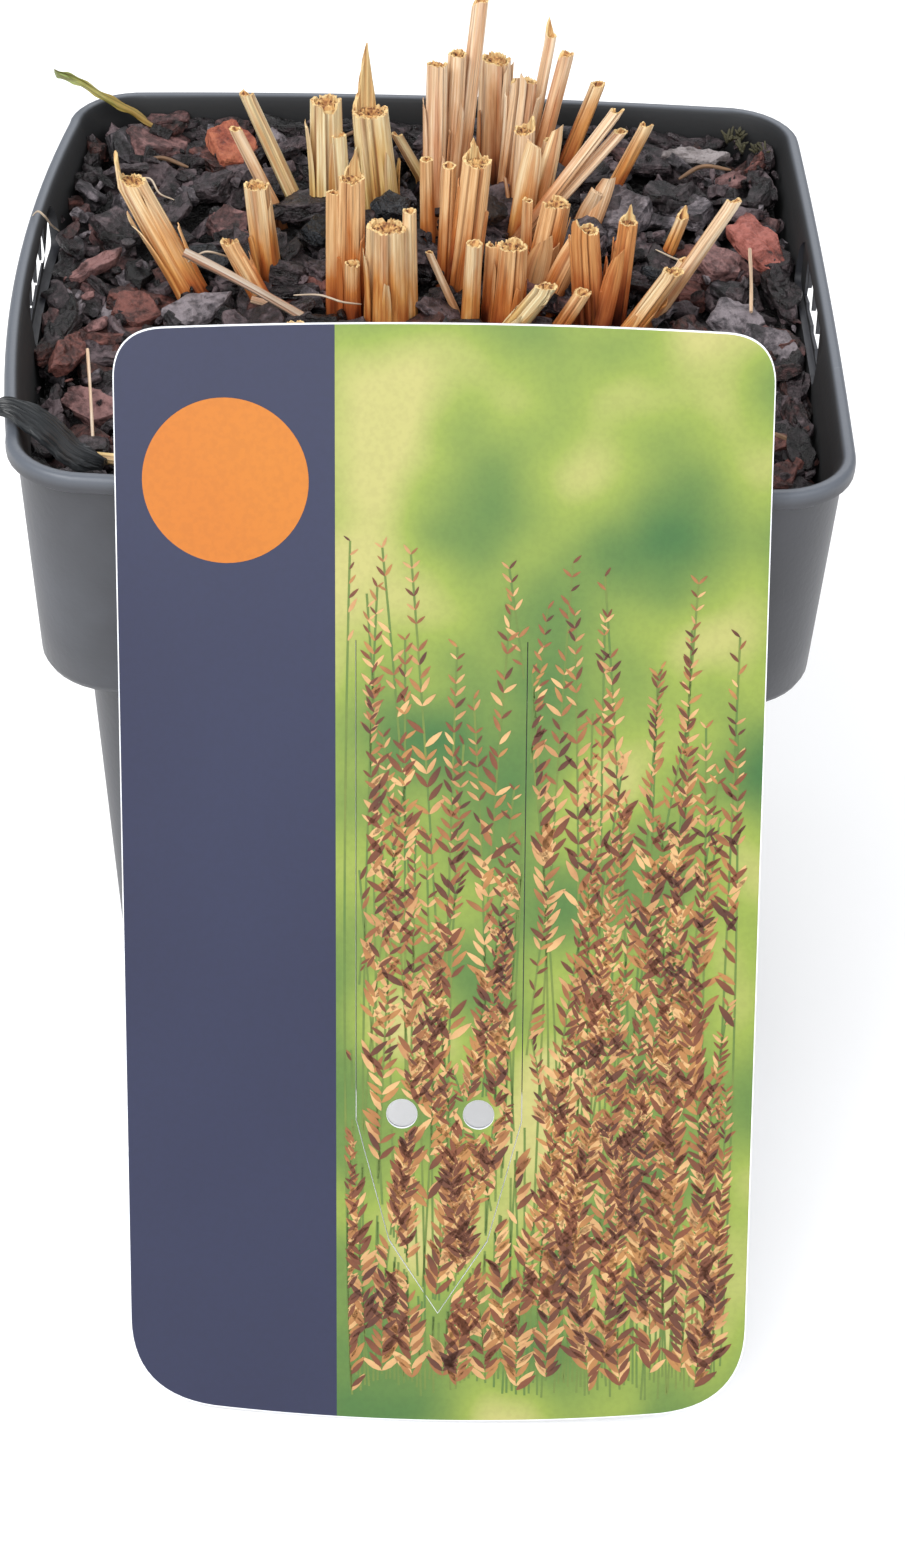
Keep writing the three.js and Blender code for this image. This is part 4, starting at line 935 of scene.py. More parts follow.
def slot_outline(slot_height):
    """A long window with ragged teeth along both edges, anticlockwise as seen from outside."""
    half = SLOT_LENGTH / 2
    pitch = SLOT_LENGTH / SLOT_TEETH
    low, high = -slot_height / 2, slot_height / 2
    outline = [(-half, low)]
    for i in range(SLOT_TEETH):
        outline += [(-half + (i + 0.35) * pitch, low), (-half + (i + 0.5) * pitch, low + 0.5)]
    outline += [(half, low), (half, high)]
    for i in reversed(range(SLOT_TEETH)):
        outline += [(-half + (i + 0.7) * pitch, high), (-half + (i + 0.64) * pitch, high - 2.6),
                    (-half + (i + 0.58) * pitch, high - 2.4), (-half + (i + 0.54) * pitch, high)]
    return outline + [(-half, high)]


def rounded_outline(width, height, radius, corner_steps=5):
    outline = []
    for turn, (x, y) in enumerate([(1, -1), (1, 1), (-1, 1), (-1, -1)]):
        for step in range(corner_steps + 1):
            angle = (turn - 1 + step / corner_steps) * math.pi / 2
            outline.append((x * (width / 2 - radius) + radius * math.cos(angle),
                            y * (height / 2 - radius) + radius * math.sin(angle)))
    return outline


def cut_away(piece, prisms):
    """Takes prisms, each given by the outlines of its two ends, out of a piece."""
    points, faces = [], []
    for first, last in prisms:
        start, count = len(points), len(first)
        points += (np.vstack([first, last]) * MM).tolist()
        faces += [list(range(start + count - 1, start - 1, -1)),
                  list(range(start + count, start + 2 * count))]
        for i in range(count):
            following = (i + 1) % count
            faces.append([start + i, start + following, start + count + following, start + count + i])
    mesh = bpy.data.meshes.new("cutter")
    mesh.from_pydata(points, [], faces)
    tool = new_object("cutter", mesh)
    holes = piece.modifiers.new("holes", "BOOLEAN")
    holes.object = tool
    holes.solver = "EXACT"
    cut = piece.evaluated_get(bpy.context.evaluated_depsgraph_get())
    mesh = bpy.data.meshes.new_from_object(cut)
    piece.modifiers.clear()
    piece.data = mesh
    bpy.data.objects.remove(tool)


def drain_hole(x, y):
    circle = [(x + DRAIN_HOLE_RADIUS * math.cos(a), y + DRAIN_HOLE_RADIUS * math.sin(a))
              for a in np.linspace(0, 2 * math.pi, 28, endpoint=False)]
    return [[(px, py, z) for px, py in circle] for z in (-3, 2 * BASE_THICKNESS)]


def build_pot():
    piece = add_mesh("square_pot", [pot_shell()], POT_SHARP_ANGLE)
    panel = rounded_outline(SLOT_PANEL_LENGTH, SLOT_PANEL_HEIGHT, SLOT_PANEL_CORNER)
    cut_away(piece, [on_wall(panel, side, [3 * WALL, SLOT_PANEL_THICKNESS]) for side in SLOT_TURN])
    windows = [on_wall(slot_outline(height), side, [2.5 * WALL, -3 * WALL])
               for side, height in SLOT_HEIGHT.items()]
    cut_away(piece, windows + [drain_hole(DRAIN_HOLE_SPACING * i, DRAIN_HOLE_SPACING * j)
                               for i in (-1, 0, 1) for j in (-1, 0, 1) if i or j])
    piece.data.shade_smooth()
    piece.data.set_sharp_from_angle(angle=math.radians(POT_SHARP_ANGLE))
    finish_piece(piece, [moulded_polypropylene()], "pot_plastic", ["pot"])


def chip_outline(draw, length, width):
    """The uneven polygon of a broken chip, as the solids draw it."""
    corners = 5 + math.floor(1.4 * draw())
    outline = []
    for i in range(corners):
        angle = 2 * math.pi * (i + 0.35 * draw()) / corners
        reach = 0.78 + 0.32 * draw()
        outline.append((0.5 * length * reach * math.cos(angle), 0.5 * width * reach * math.sin(angle)))
    return np.array(outline)


# A chip from its underside's middle over its broken edge to its top: (spread, height) shares.
CHIP_PROFILE = [(0.5, -0.5), (0.9, -0.5), (1.0, -0.36), (1.0, 0.2), (0.95, 0.44), (0.86, 0.5),
                (0.5, 0.5)]
CRUMB_PROFILE = [(0.9, -0.5), (1.0, 0), (0.85, 0.5)]


def roughen(points, width, thickness, seed):
    """Chews a chip's sides and flakes its faces in steps. It changes the points given."""
    coarse = noise_at(points * (1, 1.6, 1.4), 0.28 * width + 0.9, seed)
    fine = noise_at(points * (0.6, 1.8, 1.8), 1.1, seed + 0.5, 2)
    outward = points[:, :2] / np.maximum(np.linalg.norm(points[:, :2], axis=1), 0.4)[:, None]
    bumps = np.minimum(0.1 * thickness + 0.08, 0.3) * coarse + 0.07 * fine
    points[:, :2] += outward * bumps[:, None]
    points[:, 2] += (0.7 * bumps + 0.1 * np.round(2.2 * coarse)) * np.sign(points[:, 2])


def chip(at, length, width, thickness, turn, tip, roll, seed, points_round=26, tone=None,
         profile=CHIP_PROFILE):
    """A broken chip of bark: a flat, angular slab with chewed sides and flaked faces."""
    outline = chip_outline(seeded_random(seed), length, width)
    closed = np.vstack([outline, outline[:1]])
    places = np.linspace(0, len(outline), points_round, endpoint=False)
    start = places.astype(int)
    share = (places - start)[:, None]
    rim = (1 - share) * closed[start] + share * closed[start + 1]
    rings = [np.hstack([rim * spread, np.full((points_round, 1), height * thickness)])
             for spread, height in profile]
    body = loft(rings)
    points = body["points"]
    roughen(points, width, thickness, seed)
    body["grain"] = points + 11.7 * (seed % 83)
    own = seeded_random(7 * seed + 3)
    body["growth"] = np.tile([0.5, own() if tone is None else tone, own()], (len(points), 1))
    pose = (Matrix.Translation((at[0], at[1], bark_level(at[1]) + at[2]))
            @ Matrix.Rotation(turn, 4, "Z") @ Matrix.Rotation(tip, 4, "Y")
            @ Matrix.Rotation(roll, 4, "X"))
    return moved(body, pose)


def drawn(draw, size):
    """A size between the least and the most of a pair: (least, how much more)."""
    least, more = size
    return least + more * draw()


def tumbled(draw, tilt):
    """How a strewn chip lies: turned anyhow, and tipped and rolled by up to half of tilt."""
    return dict(turn=2 * math.pi * draw(), tip=tilt * (draw() - 0.5), roll=tilt * (draw() - 0.5))


def place_in_rim(draw):
    """A place somewhere in the rim's square, or just outside it where the walls bulge."""
    return (2 * draw() - 1) * (RIM_HALF_WIDTH + 2), (2 * draw() - 1) * RIM_HALF_WIDTH


def large_chips():
    """The chips of the solid bark layer, drawn by the same rule. The smaller chips fill up between
    them, so they are drawn smaller here."""
    draw = seeded_random(DRAW_SEED["large chips"])
    sizes = STREWN["large"]
    reach = RIM_HALF_WIDTH - 5
    columns = math.ceil(math.sqrt(LARGE_CHIPS))
    chips = []
    for i in range(LARGE_CHIPS):
        column, row = i % columns, i // columns
        x = reach * (2 * (column + draw()) / columns - 1)
        y = reach * (2 * (row + draw()) / columns - 1)
        length = drawn(draw, sizes["length"])
        lift = drawn(draw, sizes["lift"])
        width = length * drawn(draw, sizes["width"])
        thickness = drawn(draw, sizes["thickness"])
        turned = tumbled(draw, sizes["tilt"])
        if not clear_of_loose_chips(x, y, 0.25 * length):
            lift -= SUNK_UNDER_LOOSE
        chips.append(dict(at=(x, y, lift), length=CHIP_SHRINK * length, width=CHIP_SHRINK * width,
                          thickness=thickness, seed=FIRST_SEED["large chip"] + i, **turned))
    return chips


def inside_wall(x, y, margin):
    """Whether a place on the bark is at least margin inside the collar's bulging wall."""
    plain = RIM_HALF_WIDTH - LIP_OVERHANG - WALL - margin
    half_x = plain + RIM_BULGE["right" if x > 0 else "left"] * (1 - (y / RIM_HALF_WIDTH) ** 2)
    half_y = plain + RIM_BULGE["back" if y > 0 else "front"] * (1 - (x / RIM_HALF_WIDTH) ** 2)
    corner = RIM_CORNER_RADIUS - WALL
    over_x, over_y = max(abs(x) - half_x + corner, 0), max(abs(y) - half_y + corner, 0)
    return math.hypot(over_x, over_y) < corner


def clear_of_loose_chips(x, y, margin):
    """Whether a chip here would leave the chips that lie loose on top in full view."""
    return all(math.hypot(x - entry["at"][0], y - entry["at"][1]) > 0.36 * entry["length"] + margin
               for entry in LOOSE_CHIPS.values())


def clear_of_culms(x, y, margin):
    return all(math.hypot(x - culm["foot"][0], y - culm["foot"][1]) > culm["width"] / 2 + margin
               for culms in TUFTS.values() for culm in culms)


def small_chips():
    """Smaller chips that fill the gaps between the large ones, tilted by up to 40 degrees."""
    draw = seeded_random(DRAW_SEED["small chips"])
    sizes = STREWN["small"]
    chips = []
    while len(chips) < SMALL_CHIPS:
        x, y = place_in_rim(draw)
        shortest, more = sizes["length"]
        length = shortest + more * draw() ** 1.5
        width = length * drawn(draw, sizes["width"])
        lift = drawn(draw, sizes["lift"])
        turned = tumbled(draw, sizes["tilt"])
        thickness = drawn(draw, sizes["thickness"])
        if not clear_of_loose_chips(x, y, 0.25 * length):
            lift -= SUNK_UNDER_LOOSE
        if inside_wall(x, y, 0.42 * length) and clear_of_culms(x, y, 0.35 * width):
            chips.append(dict(at=(x, y, lift), length=length, width=width, thickness=thickness,
                              seed=FIRST_SEED["small chip"] + len(chips), points_round=15,
                              **turned))
    return chips


def wall_chips():
    """Chips that stand or lie against the left, right and back walls, up to just under the slots."""
    draw = seeded_random(DRAW_SEED["wall chips"])
    sizes = STREWN["wall"]
    chips = []
    while len(chips) < WALL_CHIPS:
        along = WALL_CHIP_REACH * (2 * draw() - 1)
        reach = RIM_HALF_WIDTH - LIP_OVERHANG - WALL - drawn(draw, WALL_CHIP_INWARDS)
        side = ("left", "right", "back")[math.floor(3 * draw())]
        reach += RIM_BULGE[side] * (1 - (along / RIM_HALF_WIDTH) ** 2)
        x, y = {"left": (-reach, along), "right": (reach, along), "back": (along, reach)}[side]
        turn = 0.7 * (draw() - 0.5) + (0 if side == "back" else math.pi / 2)
        length = drawn(draw, sizes["length"])
        chips.append(dict(at=(x, y, drawn(draw, sizes["lift"])), length=length,
                          width=length * drawn(draw, sizes["width"]),
                          thickness=drawn(draw, sizes["thickness"]),
                          turn=turn, tip=0.5 * (draw() - 0.5), roll=0.9 * (draw() - 0.5),
                          seed=FIRST_SEED["wall chip"] + len(chips), points_round=17))
    return chips


def crumbs():
    """Crumbs and splinters of bark 0.8 to 2.6 mm across, strewn over and between the chips."""
    draw = seeded_random(DRAW_SEED["crumbs"])
    sizes = STREWN["crumb"]
    bits = []
    while len(bits) < CRUMBS:
        x, y = place_in_rim(draw)
        length = drawn(draw, sizes["length"])
        lift = drawn(draw, sizes["lift"])
        turned = tumbled(draw, sizes["tilt"])
        if inside_wall(x, y, 0.6 * length) and clear_of_culms(x, y, 0.2):
            bits.append(dict(at=(x, y, lift), length=length,
                             width=length * drawn(draw, sizes["width"]),
                             thickness=drawn(draw, sizes["thickness"]), points_round=7,
                             seed=FIRST_SEED["crumb"] + len(bits), profile=CRUMB_PROFILE,
                             **turned))
    return bits


def bark_kind(x, y, draw):
    """Which bark a chip is. The redder ones lie mostly along the left and right walls."""
    sideways = min(1, max(0, (abs(x) - 18) / 20))
    more = RED_SHARE_MORE["right" if x > 0 else "left"]
    red_share = RED_SHARE + more * sideways * (1 if y < 26 else 0.5)
    pick = draw()
    if pick < red_share:
        return "rust" if pick < 0.55 * red_share else "rose"
    if pick < red_share + GREY_SHARE:
        return "grey"
    return "plum" if pick < red_share + GREY_AND_PLUM_SHARE else "dark"


def bark_bed():
    """The crumbled bed under the chips: a closed layer with a rough top. Its tone is darker than
    any chip's, as painted shade in the gaps between them.
    """
    inset = WALL + FIT_GAP + 0.3

    def level_ring(drop, spread):
        z = POT_HEIGHT - BARK_BELOW_RIM - drop
        ring = square_ring(collar_half_width(z) - inset, RIM_CORNER_RADIUS - inset, z,
                           bulge_share_at(z)) * (spread, spread, 1)
        ring[:, 2] = bark_level(ring[:, 1]) - drop
        return ring

    rings = [level_ring(drop, 1) for drop in (BARK_LAYER, 8, 5, 3.6)]
    rings += [level_ring(BED_TOP_DROP, spread) for spread in np.linspace(1, 0.02, 62)]
    body = loft(rings)
    points = body["points"]
    on_top = points[:, 2] > bark_level(points[:, 1]) - BED_TOP_DROP - 0.1
    rough = 0.5 * noise_at(points, 2.4, 3) + 0.35 * noise_at(points, 1, 5, 2)
    points[:, 2] += np.where(on_top, rough, 0)
    body["grain"] = points.copy()
    # painted shade: the bed's tone is set below every chip's, so the gaps between chips read dark
    body["growth"] = np.tile([0.5, -0.3, 0.5], (len(points), 1))
    return body


def build_bark():
    """One piece for each kind of bark, so that the chips of a colour are fused."""
    materials = {kind: pine_bark(kind) for kind in BARKS}
    by_kind = {kind: [] for kind in BARKS}
    by_kind["dark"].append(bark_bed())
    draw = seeded_random(DRAW_SEED["bark kinds"])
    for entry in large_chips() + small_chips() + wall_chips() + crumbs():
        kind = bark_kind(*entry["at"][:2], draw)
        by_kind[kind].append(chip(**entry))
    for seed, (x, y, lift, length, turn) in enumerate(WET_CHIPS, FIRST_SEED["wet chip"]):
        by_kind["wet"].append(chip((x, y, lift), length, 0.7 * length, 1.6, turn, 0.3, 0.5, seed,
                                   points_round=24))
    for kind, bodies in by_kind.items():
        if bodies:
            add_piece("bark_chips_" + kind, bodies, [materials[kind]], "bark_dark",
                      ["bark_mulch"], CHIP_SHARP_ANGLE)
    slots = {"orange": "bark_orange", "fresh": "bark_orange", "rust": "bark_orange",
             "rose": "bark_red", "grey": "bark_grey", "pale": "bark_grey"}
    for seed, (name, entry) in enumerate(LOOSE_CHIPS.items(), FIRST_SEED["loose chip"]):
        bark = entry["bark"]
        shape = {key: value for key, value in entry.items() if key != "bark"}
        body = chip(**shape, seed=seed, points_round=34, tone=0.95)
        add_piece("loose_" + name, [body], [materials[bark]], slots[bark], [name], CHIP_SHARP_ANGLE)


# How each tuft has aged. Those not named are golden.
TUFT_TONES = {
    "pale": ["stub_back_broad", "stub_back_spiked", "splinter_front_long", "culm_back_left_tall",
             "splinter_back_left"],
    "tan": ["culm_back_left_low", "tuft_back_tall", "stub_back_twin", "stub_back_dark",
            "culm_back_needle", "culms_right_crossing", "culm_right_outer", "splinter_middle_right",
            "stub_back_front"],
    "amber": ["stub_middle_split", "stub_centre_tall", "culm_centre_back", "stub_front_open",
              "splinter_front_short", "stub_right_hidden", "stub_left_short"],
    "foxed": ["stub_right_open", "stub_right_narrow"],
}

# Broad loose strips of sheath that stand in the clump: the tuft that each belongs to, and its course.
LOOSE_STRIPS = [
    ("culm_right_inner", cut_culm((10.3, 20.4), 12, (1.4, 2), 2.8)),
    ("culm_right_inner", cut_culm((12.1, 21.8), 12.6, (2.4, 3), 2.2)),
    ("stub_back_front", cut_culm((12.9, 21.2), 9.4, (3.8, 1), 2.4)),
    ("stub_right_hidden", cut_culm((13.5, 7.1), 9.4, (3.8, 1), 3)),
    ("stub_right_hidden", cut_culm((11.4, 7.7), 8.2, (1.4, 0), 3)),
    ("culms_right_crossing", cut_culm((18, 19.7), 8.2, (2.8, 2), 2.6)),
    ("culms_right_crossing", cut_culm((17.3, 20.8), 6.6, (2.1, 0), 2.4)),
    ("stub_right_open", cut_culm((19.5, 1.2), 9.8, (1.6, 1), 2.2)),
    ("stub_middle_split", cut_culm((-10.4, 13), 9.4, (0.7, 2), 2.4)),
]


def is_sheathed(culm):
    return culm["width"] > SHEATHED_WIDTH


def culm_middle(culm, share):
    """Centre of a culm at a share of its rise. Below the bark it runs down into the roots."""
    x, y = culm["foot"]
    z = bark_level(y) - CROWN_BELOW_BARK
    if share > 0:
        return np.array([x + share * culm["shift"][0], y + share * culm["shift"][1],
                         z + share * culm["rise"]])
    return np.array([x + 0.35 * share * culm["shift"][0], y + 0.35 * share * culm["shift"][1],
                     z + share * ROOT_DEPTH])


def cut_edge(culm, draw, angles, chew):
    """How far the cut end stands above the cut at each angle. The coarse steps are the solid's."""
    sides = 10 if is_sheathed(culm) else 6
    rag = [0.5 * draw() * min(1, culm["width"] / 3) for _ in range(sides)]
    if culm["slit"] is not None:
        rag[math.floor(culm["slit"] * sides)] -= 0.5 * culm["width"]
    if culm["sliver"]:
        place, height = culm["sliver"]
        at = math.floor(place * sides)
        rag[at] += height
        rag[(at + 1) % sides] += 0.25 * height
    coarse = np.interp(angles / (2 * np.pi) * sides, np.arange(sides + 1), rag + rag[:1])
    return coarse + 0.3 * min(1, culm["width"] / 3) * (chew - 0.5)


def culm_radius(culm, share):
    """The culm swells at its foot and thins below the bark, as the solid does."""
    radius = culm["width"] / 2
    return radius * float(np.interp(share, [-1, 0, 1], [0.8, 1.15, 1]))


def culm_skin(own, angles, ribs, sheaths):
    """What makes a culm's skin more than a round tube, at each angle: its fluting, the steps where
    its sheaths wrap over each other, how deep in the groove of a seam it is, and the number of
    the sheath there."""
    heavy = np.interp(angles, np.linspace(0, 2 * np.pi, 9), [own() for _ in range(8)] + [0.5])
    flute = 1 - (0.01 + 0.07 * heavy) * (0.5 + 0.5 * np.cos(ribs * angles))
    flute -= 0.03 * np.cos(5 * angles + 6 * own())
    seams = [2 * math.pi * (i + 0.75 * own()) / sheaths for i in range(sheaths)]
    turned = [((angles - seam) / (2 * np.pi)) % 1 for seam in seams]
    steps = (sum(turned) - sheaths / 2) * SHEATH_STEP
    groove = sum(np.exp(-((t * 2 * np.pi / 0.15) ** 2)) + np.exp(-(((t - 1) * 2 * np.pi / 0.08) ** 2))
                 for t in turned)
    return flute, steps, np.minimum(groove, 1), np.argmin(np.array(turned), axis=0)


def cut_end(culm, ring, edge, chew):
    """The rings over the cut edge and down into the pith, with the material that leads up to each."""
    radius = culm["width"] / 2
    wall = min(max(0.3, 0.22 * radius), 0.4 * radius)
    rings = [(SKIN, ring(1, radius, edge)), (CUT, ring(1, radius - 0.5 * wall, edge + 0.04, 0.3)),
             (CUT, ring(1, radius - wall, 0.92 * edge, 0.6))]
    if is_sheathed(culm):
        rough = 0.35 * (chew - 0.5)
        rings += [(CUT, ring(1, radius - 1.25 * wall, -0.4, 1)),
                  (PITH, ring(1, radius - 1.5 * wall, rough, 1)),
                  (PITH, ring(1, 0.5 * radius, 0.06 - rough, 1)),
                  (PITH, ring(1, 0.34 * radius, rough - 0.1, 1))]
    return rings + [(PITH, ring(1, 0.24 * radius, -0.4, 1)), (PITH, ring(1, 0.16 * radius, -1.8, 1))]


def culm_grain(body, culm, angles, shares):
    """Where each point of a culm was on the straight plant: round its axis, and up it."""
    count = len(angles)
    radius = culm["width"] / 2
    circle = np.stack([radius * np.cos(angles), radius * np.sin(angles)], 1)
    middles = np.repeat([culm_middle(culm, share)[:2] for share in shares], count, 0)
    spread = np.linalg.norm(body["points"][:-2, :2] - middles, axis=1)
    around = np.tile(circle, (len(shares), 1)) * (spread / radius)[:, None]
    return np.column_stack([around, np.repeat(shares, count) * culm["rise"]])


def culm_body(culm, draw, seed):
    """One culm wrapped in its sheaths: up its ribbed outside, over the cut and into the pith."""
    own = seeded_random(seed)
    radius = culm["width"] / 2
    ribs = max(8, round(2 * math.pi * radius / RIB_SPACING))
    sheaths = 4 if is_sheathed(culm) else 2
    count = 3 * ribs
    angles = 2 * np.pi * np.arange(count) / count
    chew = np.array([own() for _ in range(count)])
    flute, steps, groove, sheath = culm_skin(own, angles, ribs, sheaths)
    edge = cut_edge(culm, draw, angles, chew) - 0.12 * radius * groove
    lean = np.array([*culm["shift"], 0]) / culm["rise"]
    offset, tone = 700 * own(), own()
    tones = np.clip(tone + 0.9 * (np.array([own() for _ in range(sheaths)])[sheath] - 0.5), 0, 1)

    def ring(share, reach, depth, smooth=0.0):
        shape = reach * (flute * (1 - smooth) + smooth) * (1 + steps * (1 - smooth))
        shape = shape * (1 - 0.2 * groove * (1 - smooth))
        z = np.broadcast_to(depth, count)
        flat = np.stack([shape * np.cos(angles), shape * np.sin(angles), z], 1)
        return culm_middle(culm, share) + flat + np.minimum(z, 0)[:, None] * lean

    shares = [-1, -0.25, 0, 0.12, 0.3, 0.5, 0.7, 0.86, 0.95]
    end = cut_end(culm, ring, edge, chew)
    rings = [ring(share, culm_radius(culm, share), 0) for share in shares] + [one for _, one in end]
    finishes = [SKIN] * (len(shares) - 1) + [finish for finish, _ in end]
    body = loft(rings, finishes, (SKIN, PITH))
    shares = np.array(shares + [1] * len(end), float)
    growth = np.column_stack([np.clip(np.repeat(shares, count), -0.2, 1),
                              np.tile(tones, len(rings)), np.tile(groove, len(rings))])
    return with_grain(body, culm_grain(body, culm, angles, shares) + offset, growth)


def sheath_strip(culm, angle, width, top, peel, seed):
    """A torn strip of leaf sheath that stands against a culm and peels away from it at its top."""
    own = seeded_random(seed)
    offset, tone, slant = 650 * own(), own(), 1.6 * (own() - 0.5)
    across = np.linspace(-1, 1, 7)
    wide = len(across)
    rings, grain, growth = [], [], []
    for share in np.linspace(-0.15, top, 9):
        climb = max(0, share) / top
        taper = 1 - 0.5 * climb ** 4
        reach = culm_radius(culm, share) + 0.06 + peel * climb ** 2
        spread = angle + across * taper * width / (2 * reach)
        half = 0.08 * (1 - 0.3 * climb)
        centre = culm_middle(culm, share)
        for side, direction in ((-half, across), (half, across[::-1])):
            turned = spread if side < 0 else spread[::-1]
            bent = reach + side - 0.1 * direction ** 2
            tip = climb ** 6 * (0.5 * (own() - 0.5) + slant * direction)
            rings.append(centre + np.stack([bent * np.cos(turned), bent * np.sin(turned), tip], 1))
            grain.append(np.column_stack([direction * width / 2, np.full(wide, side),
                                          np.full(wide, share * culm["rise"])]) + offset)
            growth.append(np.tile([max(share, -0.1), tone, 0.15], (wide, 1)))
    stations = [np.vstack(pair) for pair in zip(rings[0::2], rings[1::2])]
    return with_grain(loft(stations), np.vstack(grain), np.vstack(growth))


def tuft_strips(culm, seed):
    """The torn strips round a sheathed culm."""
    own = seeded_random(seed)
    count = 3 + math.floor(2.6 * own())
    return [sheath_strip(culm, 2 * math.pi * (i + 0.7 * own()) / count, 0.8 + 1.1 * own(),
                         0.4 + 0.58 * own(), 0.9 * own() ** 2, seed + 31 * i)
            for i in range(count)]


def build_tufts():
    draw = seeded_random(DRAW_SEED["culms"])
    ends = [cut_sheath(), dry_pith()]
    skins = {tone: dry_straw(tone) for tone in ("golden", *TUFT_TONES)}
    tones = {name: tone for tone, names in TUFT_TONES.items() for name in names}
    for number, (name, culms) in enumerate(TUFTS.items()):
        bodies = []
        for i, culm in enumerate(culms):
            seed = FIRST_SEED["culm"] + 17 * number + i
            bodies.append(culm_body(culm, draw, seed))
            if is_sheathed(culm):
                bodies += tuft_strips(culm, seed + 5)
        for seed, (owner, strip) in enumerate(LOOSE_STRIPS, FIRST_SEED["loose strip"]):
            if owner == name:
                width = STRIP_WIDTH_SHARE * strip["width"]
                bodies.append(sheath_strip(strip, -math.pi / 2, width, 1, 0.3, seed))
        materials = [skins[tones.get(name, "golden")], *ends]
        add_piece("dry_" + name, bodies, materials, "straw", [name], CULM_SHARP_ANGLE)


def build_straws():
    slots = {"weathered": "straw_weathered", "bleached": "straw_pale", "pale": "straw_pale"}
    finishes = {tone: dry_straw(tone) for tone in slots}
    for seed, (name, entry) in enumerate(STRAWS.items(), FIRST_SEED["straw"]):
        route = smooth_route(entry["route"], 9)
        share = np.linspace(0, 1, len(route))
        radii = entry["width"] / 2 * (1 + 0.08 * np.sin(9 * share))
        body = stalk(route, radii, 18, seed, 0.1)
        body["growth"][:, 0] = 0.45 + 0.5 * body["growth"][:, 0]
        add_piece("lying_" + name, [body], [finishes[entry["finish"]]], slots[entry["finish"]],
                  [name], STRAW_SHARP_ANGLE)


def leaf_body(route, widths, across, thickness, cup, ribs, seed):
    """A flat blade with lengthwise ribs, whose middle is raised or sunk against its edges."""
    stations = smooth_route(route, 8)
    halves = np.interp(np.linspace(0, 1, len(stations)), np.linspace(0, 1, len(widths)), widths) / 2
    across = np.array(across) / np.linalg.norm(across)
    places = np.linspace(-1, 1, 4 * ribs + 1)
    relief = 0.12 * np.cos(2 * np.pi * ribs * places / 2)
    draw = seeded_random(seed)
    offset = 300 * draw()
    lengths = lengths_along(stations)
    rings, grain, growth = [], [], []
    for station, half, along in zip(stations, halves, lengths):
        fray = 1 + 0.05 * math.sin(2.1 * along + seed) + 0.03 * math.sin(5.3 * along)
        edge = half * fray
        thick = 0.5 * thickness * (1 - 0.3 * places ** 2)
        wave = 0.15 * math.sin(1.7 * along + seed) * places
        for sign, order in ((-1, slice(None)), (1, slice(None, None, -1))):
            side = places[order]
            up = (sign * thick + relief * 0.8 - cup * half * np.abs(places) + wave)[order]
            rings.append(station + side[:, None] * edge * across + up[:, None] * (0, 0, 1))
            grain.append(np.column_stack([side * half, up, np.full(len(side), along)]) + offset)
            growth.append(np.column_stack([np.full(len(side), along / lengths[-1]),
                                           np.full(len(side), 0.5), np.abs(side)]))
    stacked = [np.vstack(pair) for pair in zip(rings[0::2], rings[1::2])]
    return with_grain(loft(stacked), np.vstack(grain), np.vstack(growth))


def build_leaves():
    green = grass_blade("dying_green_blade", [(0.0, "#6b4a26"), (0.3, "#9a7f3c"), (0.65, "#8b8640"),
                                              (0.95, "#7b8a4a")], "#5d5a2a", 0.5)
    dead = grass_blade("rotted_leaf", [(0.0, "#15181a"), (0.4, "#222527"), (0.7, "#3a3c3e"),
                                       (1.0, "#1e2022")], "#0c0e10", 0.35)
    for name, material, slot in (("green_blade", green, "leaf_green"), ("dead_leaf", dead, "leaf_dead")):
        add_piece("grass_" + name, [leaf_body(seed=5, **LEAVES[name])], [material], slot, [name],
                  STRAW_SHARP_ANGLE)


def thread(points, radius, seed, steps=7):
    """A hair or fine root along a route, tapered at its ends."""
    route = smooth_route(points, steps)
    share = np.linspace(0, 1, len(route))
    return stalk(route, radius * (0.45 + 0.55 * np.sin(np.pi * share) ** 0.5), 6, seed)


# Hairs and fine roots that lie on the bark: routes in millimetres with the height above the bark.
HAIRS = [
    [(-46.9, 11.3, 5.2), (-46.1, 10.3, 6.4), (-45.3, 10.4, 5.6), (-44.9, 12.2, 3.5),
     (-44.4, 15.6, 0.6)],
    [(-36.5, 26.5, 1), (-34.3, 25.3, 2), (-33, 23.1, 1.4), (-31.2, 22.7, 0.8)],
    [(26.4, 13.9, 1.2), (29.2, 10.8, 1.8), (31.7, 12.6, 1.1), (33.8, 10.2, 0.9)],
    [(-16, 0.6, 2.4), (-13, -0.8, 3.4), (-10.4, -1.6, 3.1), (-8.2, -0.6, 2.2)],
    [(-28.4, 5, 3.6), (-26.4, 4.6, 5.2), (-24.4, 5.6, 4.2), (-23.2, 7.2, 2.6)],
]
ROOTS = [
    [(36.4, -20.5, 0.3), (39, -22.3, 0.8), (41.6, -24.6, 0.5)],
    [(30, 30.6, 0.6), (33, 32.8, 1.1), (36.6, 33, 0.6)],
    [(-12, 38, 0.5), (-8.6, 39.4, 1.1), (-5, 38.8, 0.6)],
    [(-36.5, 29.5, 0.6), (-33.6, 31.4, 1.2), (-30, 30.6, 0.5)],
    [(20.5, -30, 0.6), (25, -32.5, 1.1), (29, -31, 0.6)],
    [(-22, -30, 0.6), (-17.5, -32, 1.2), (-13.5, -30.5, 0.6)],
]


def on_bark(points):
    return [(x, y, bark_level(y) + up) for x, y, up in points]


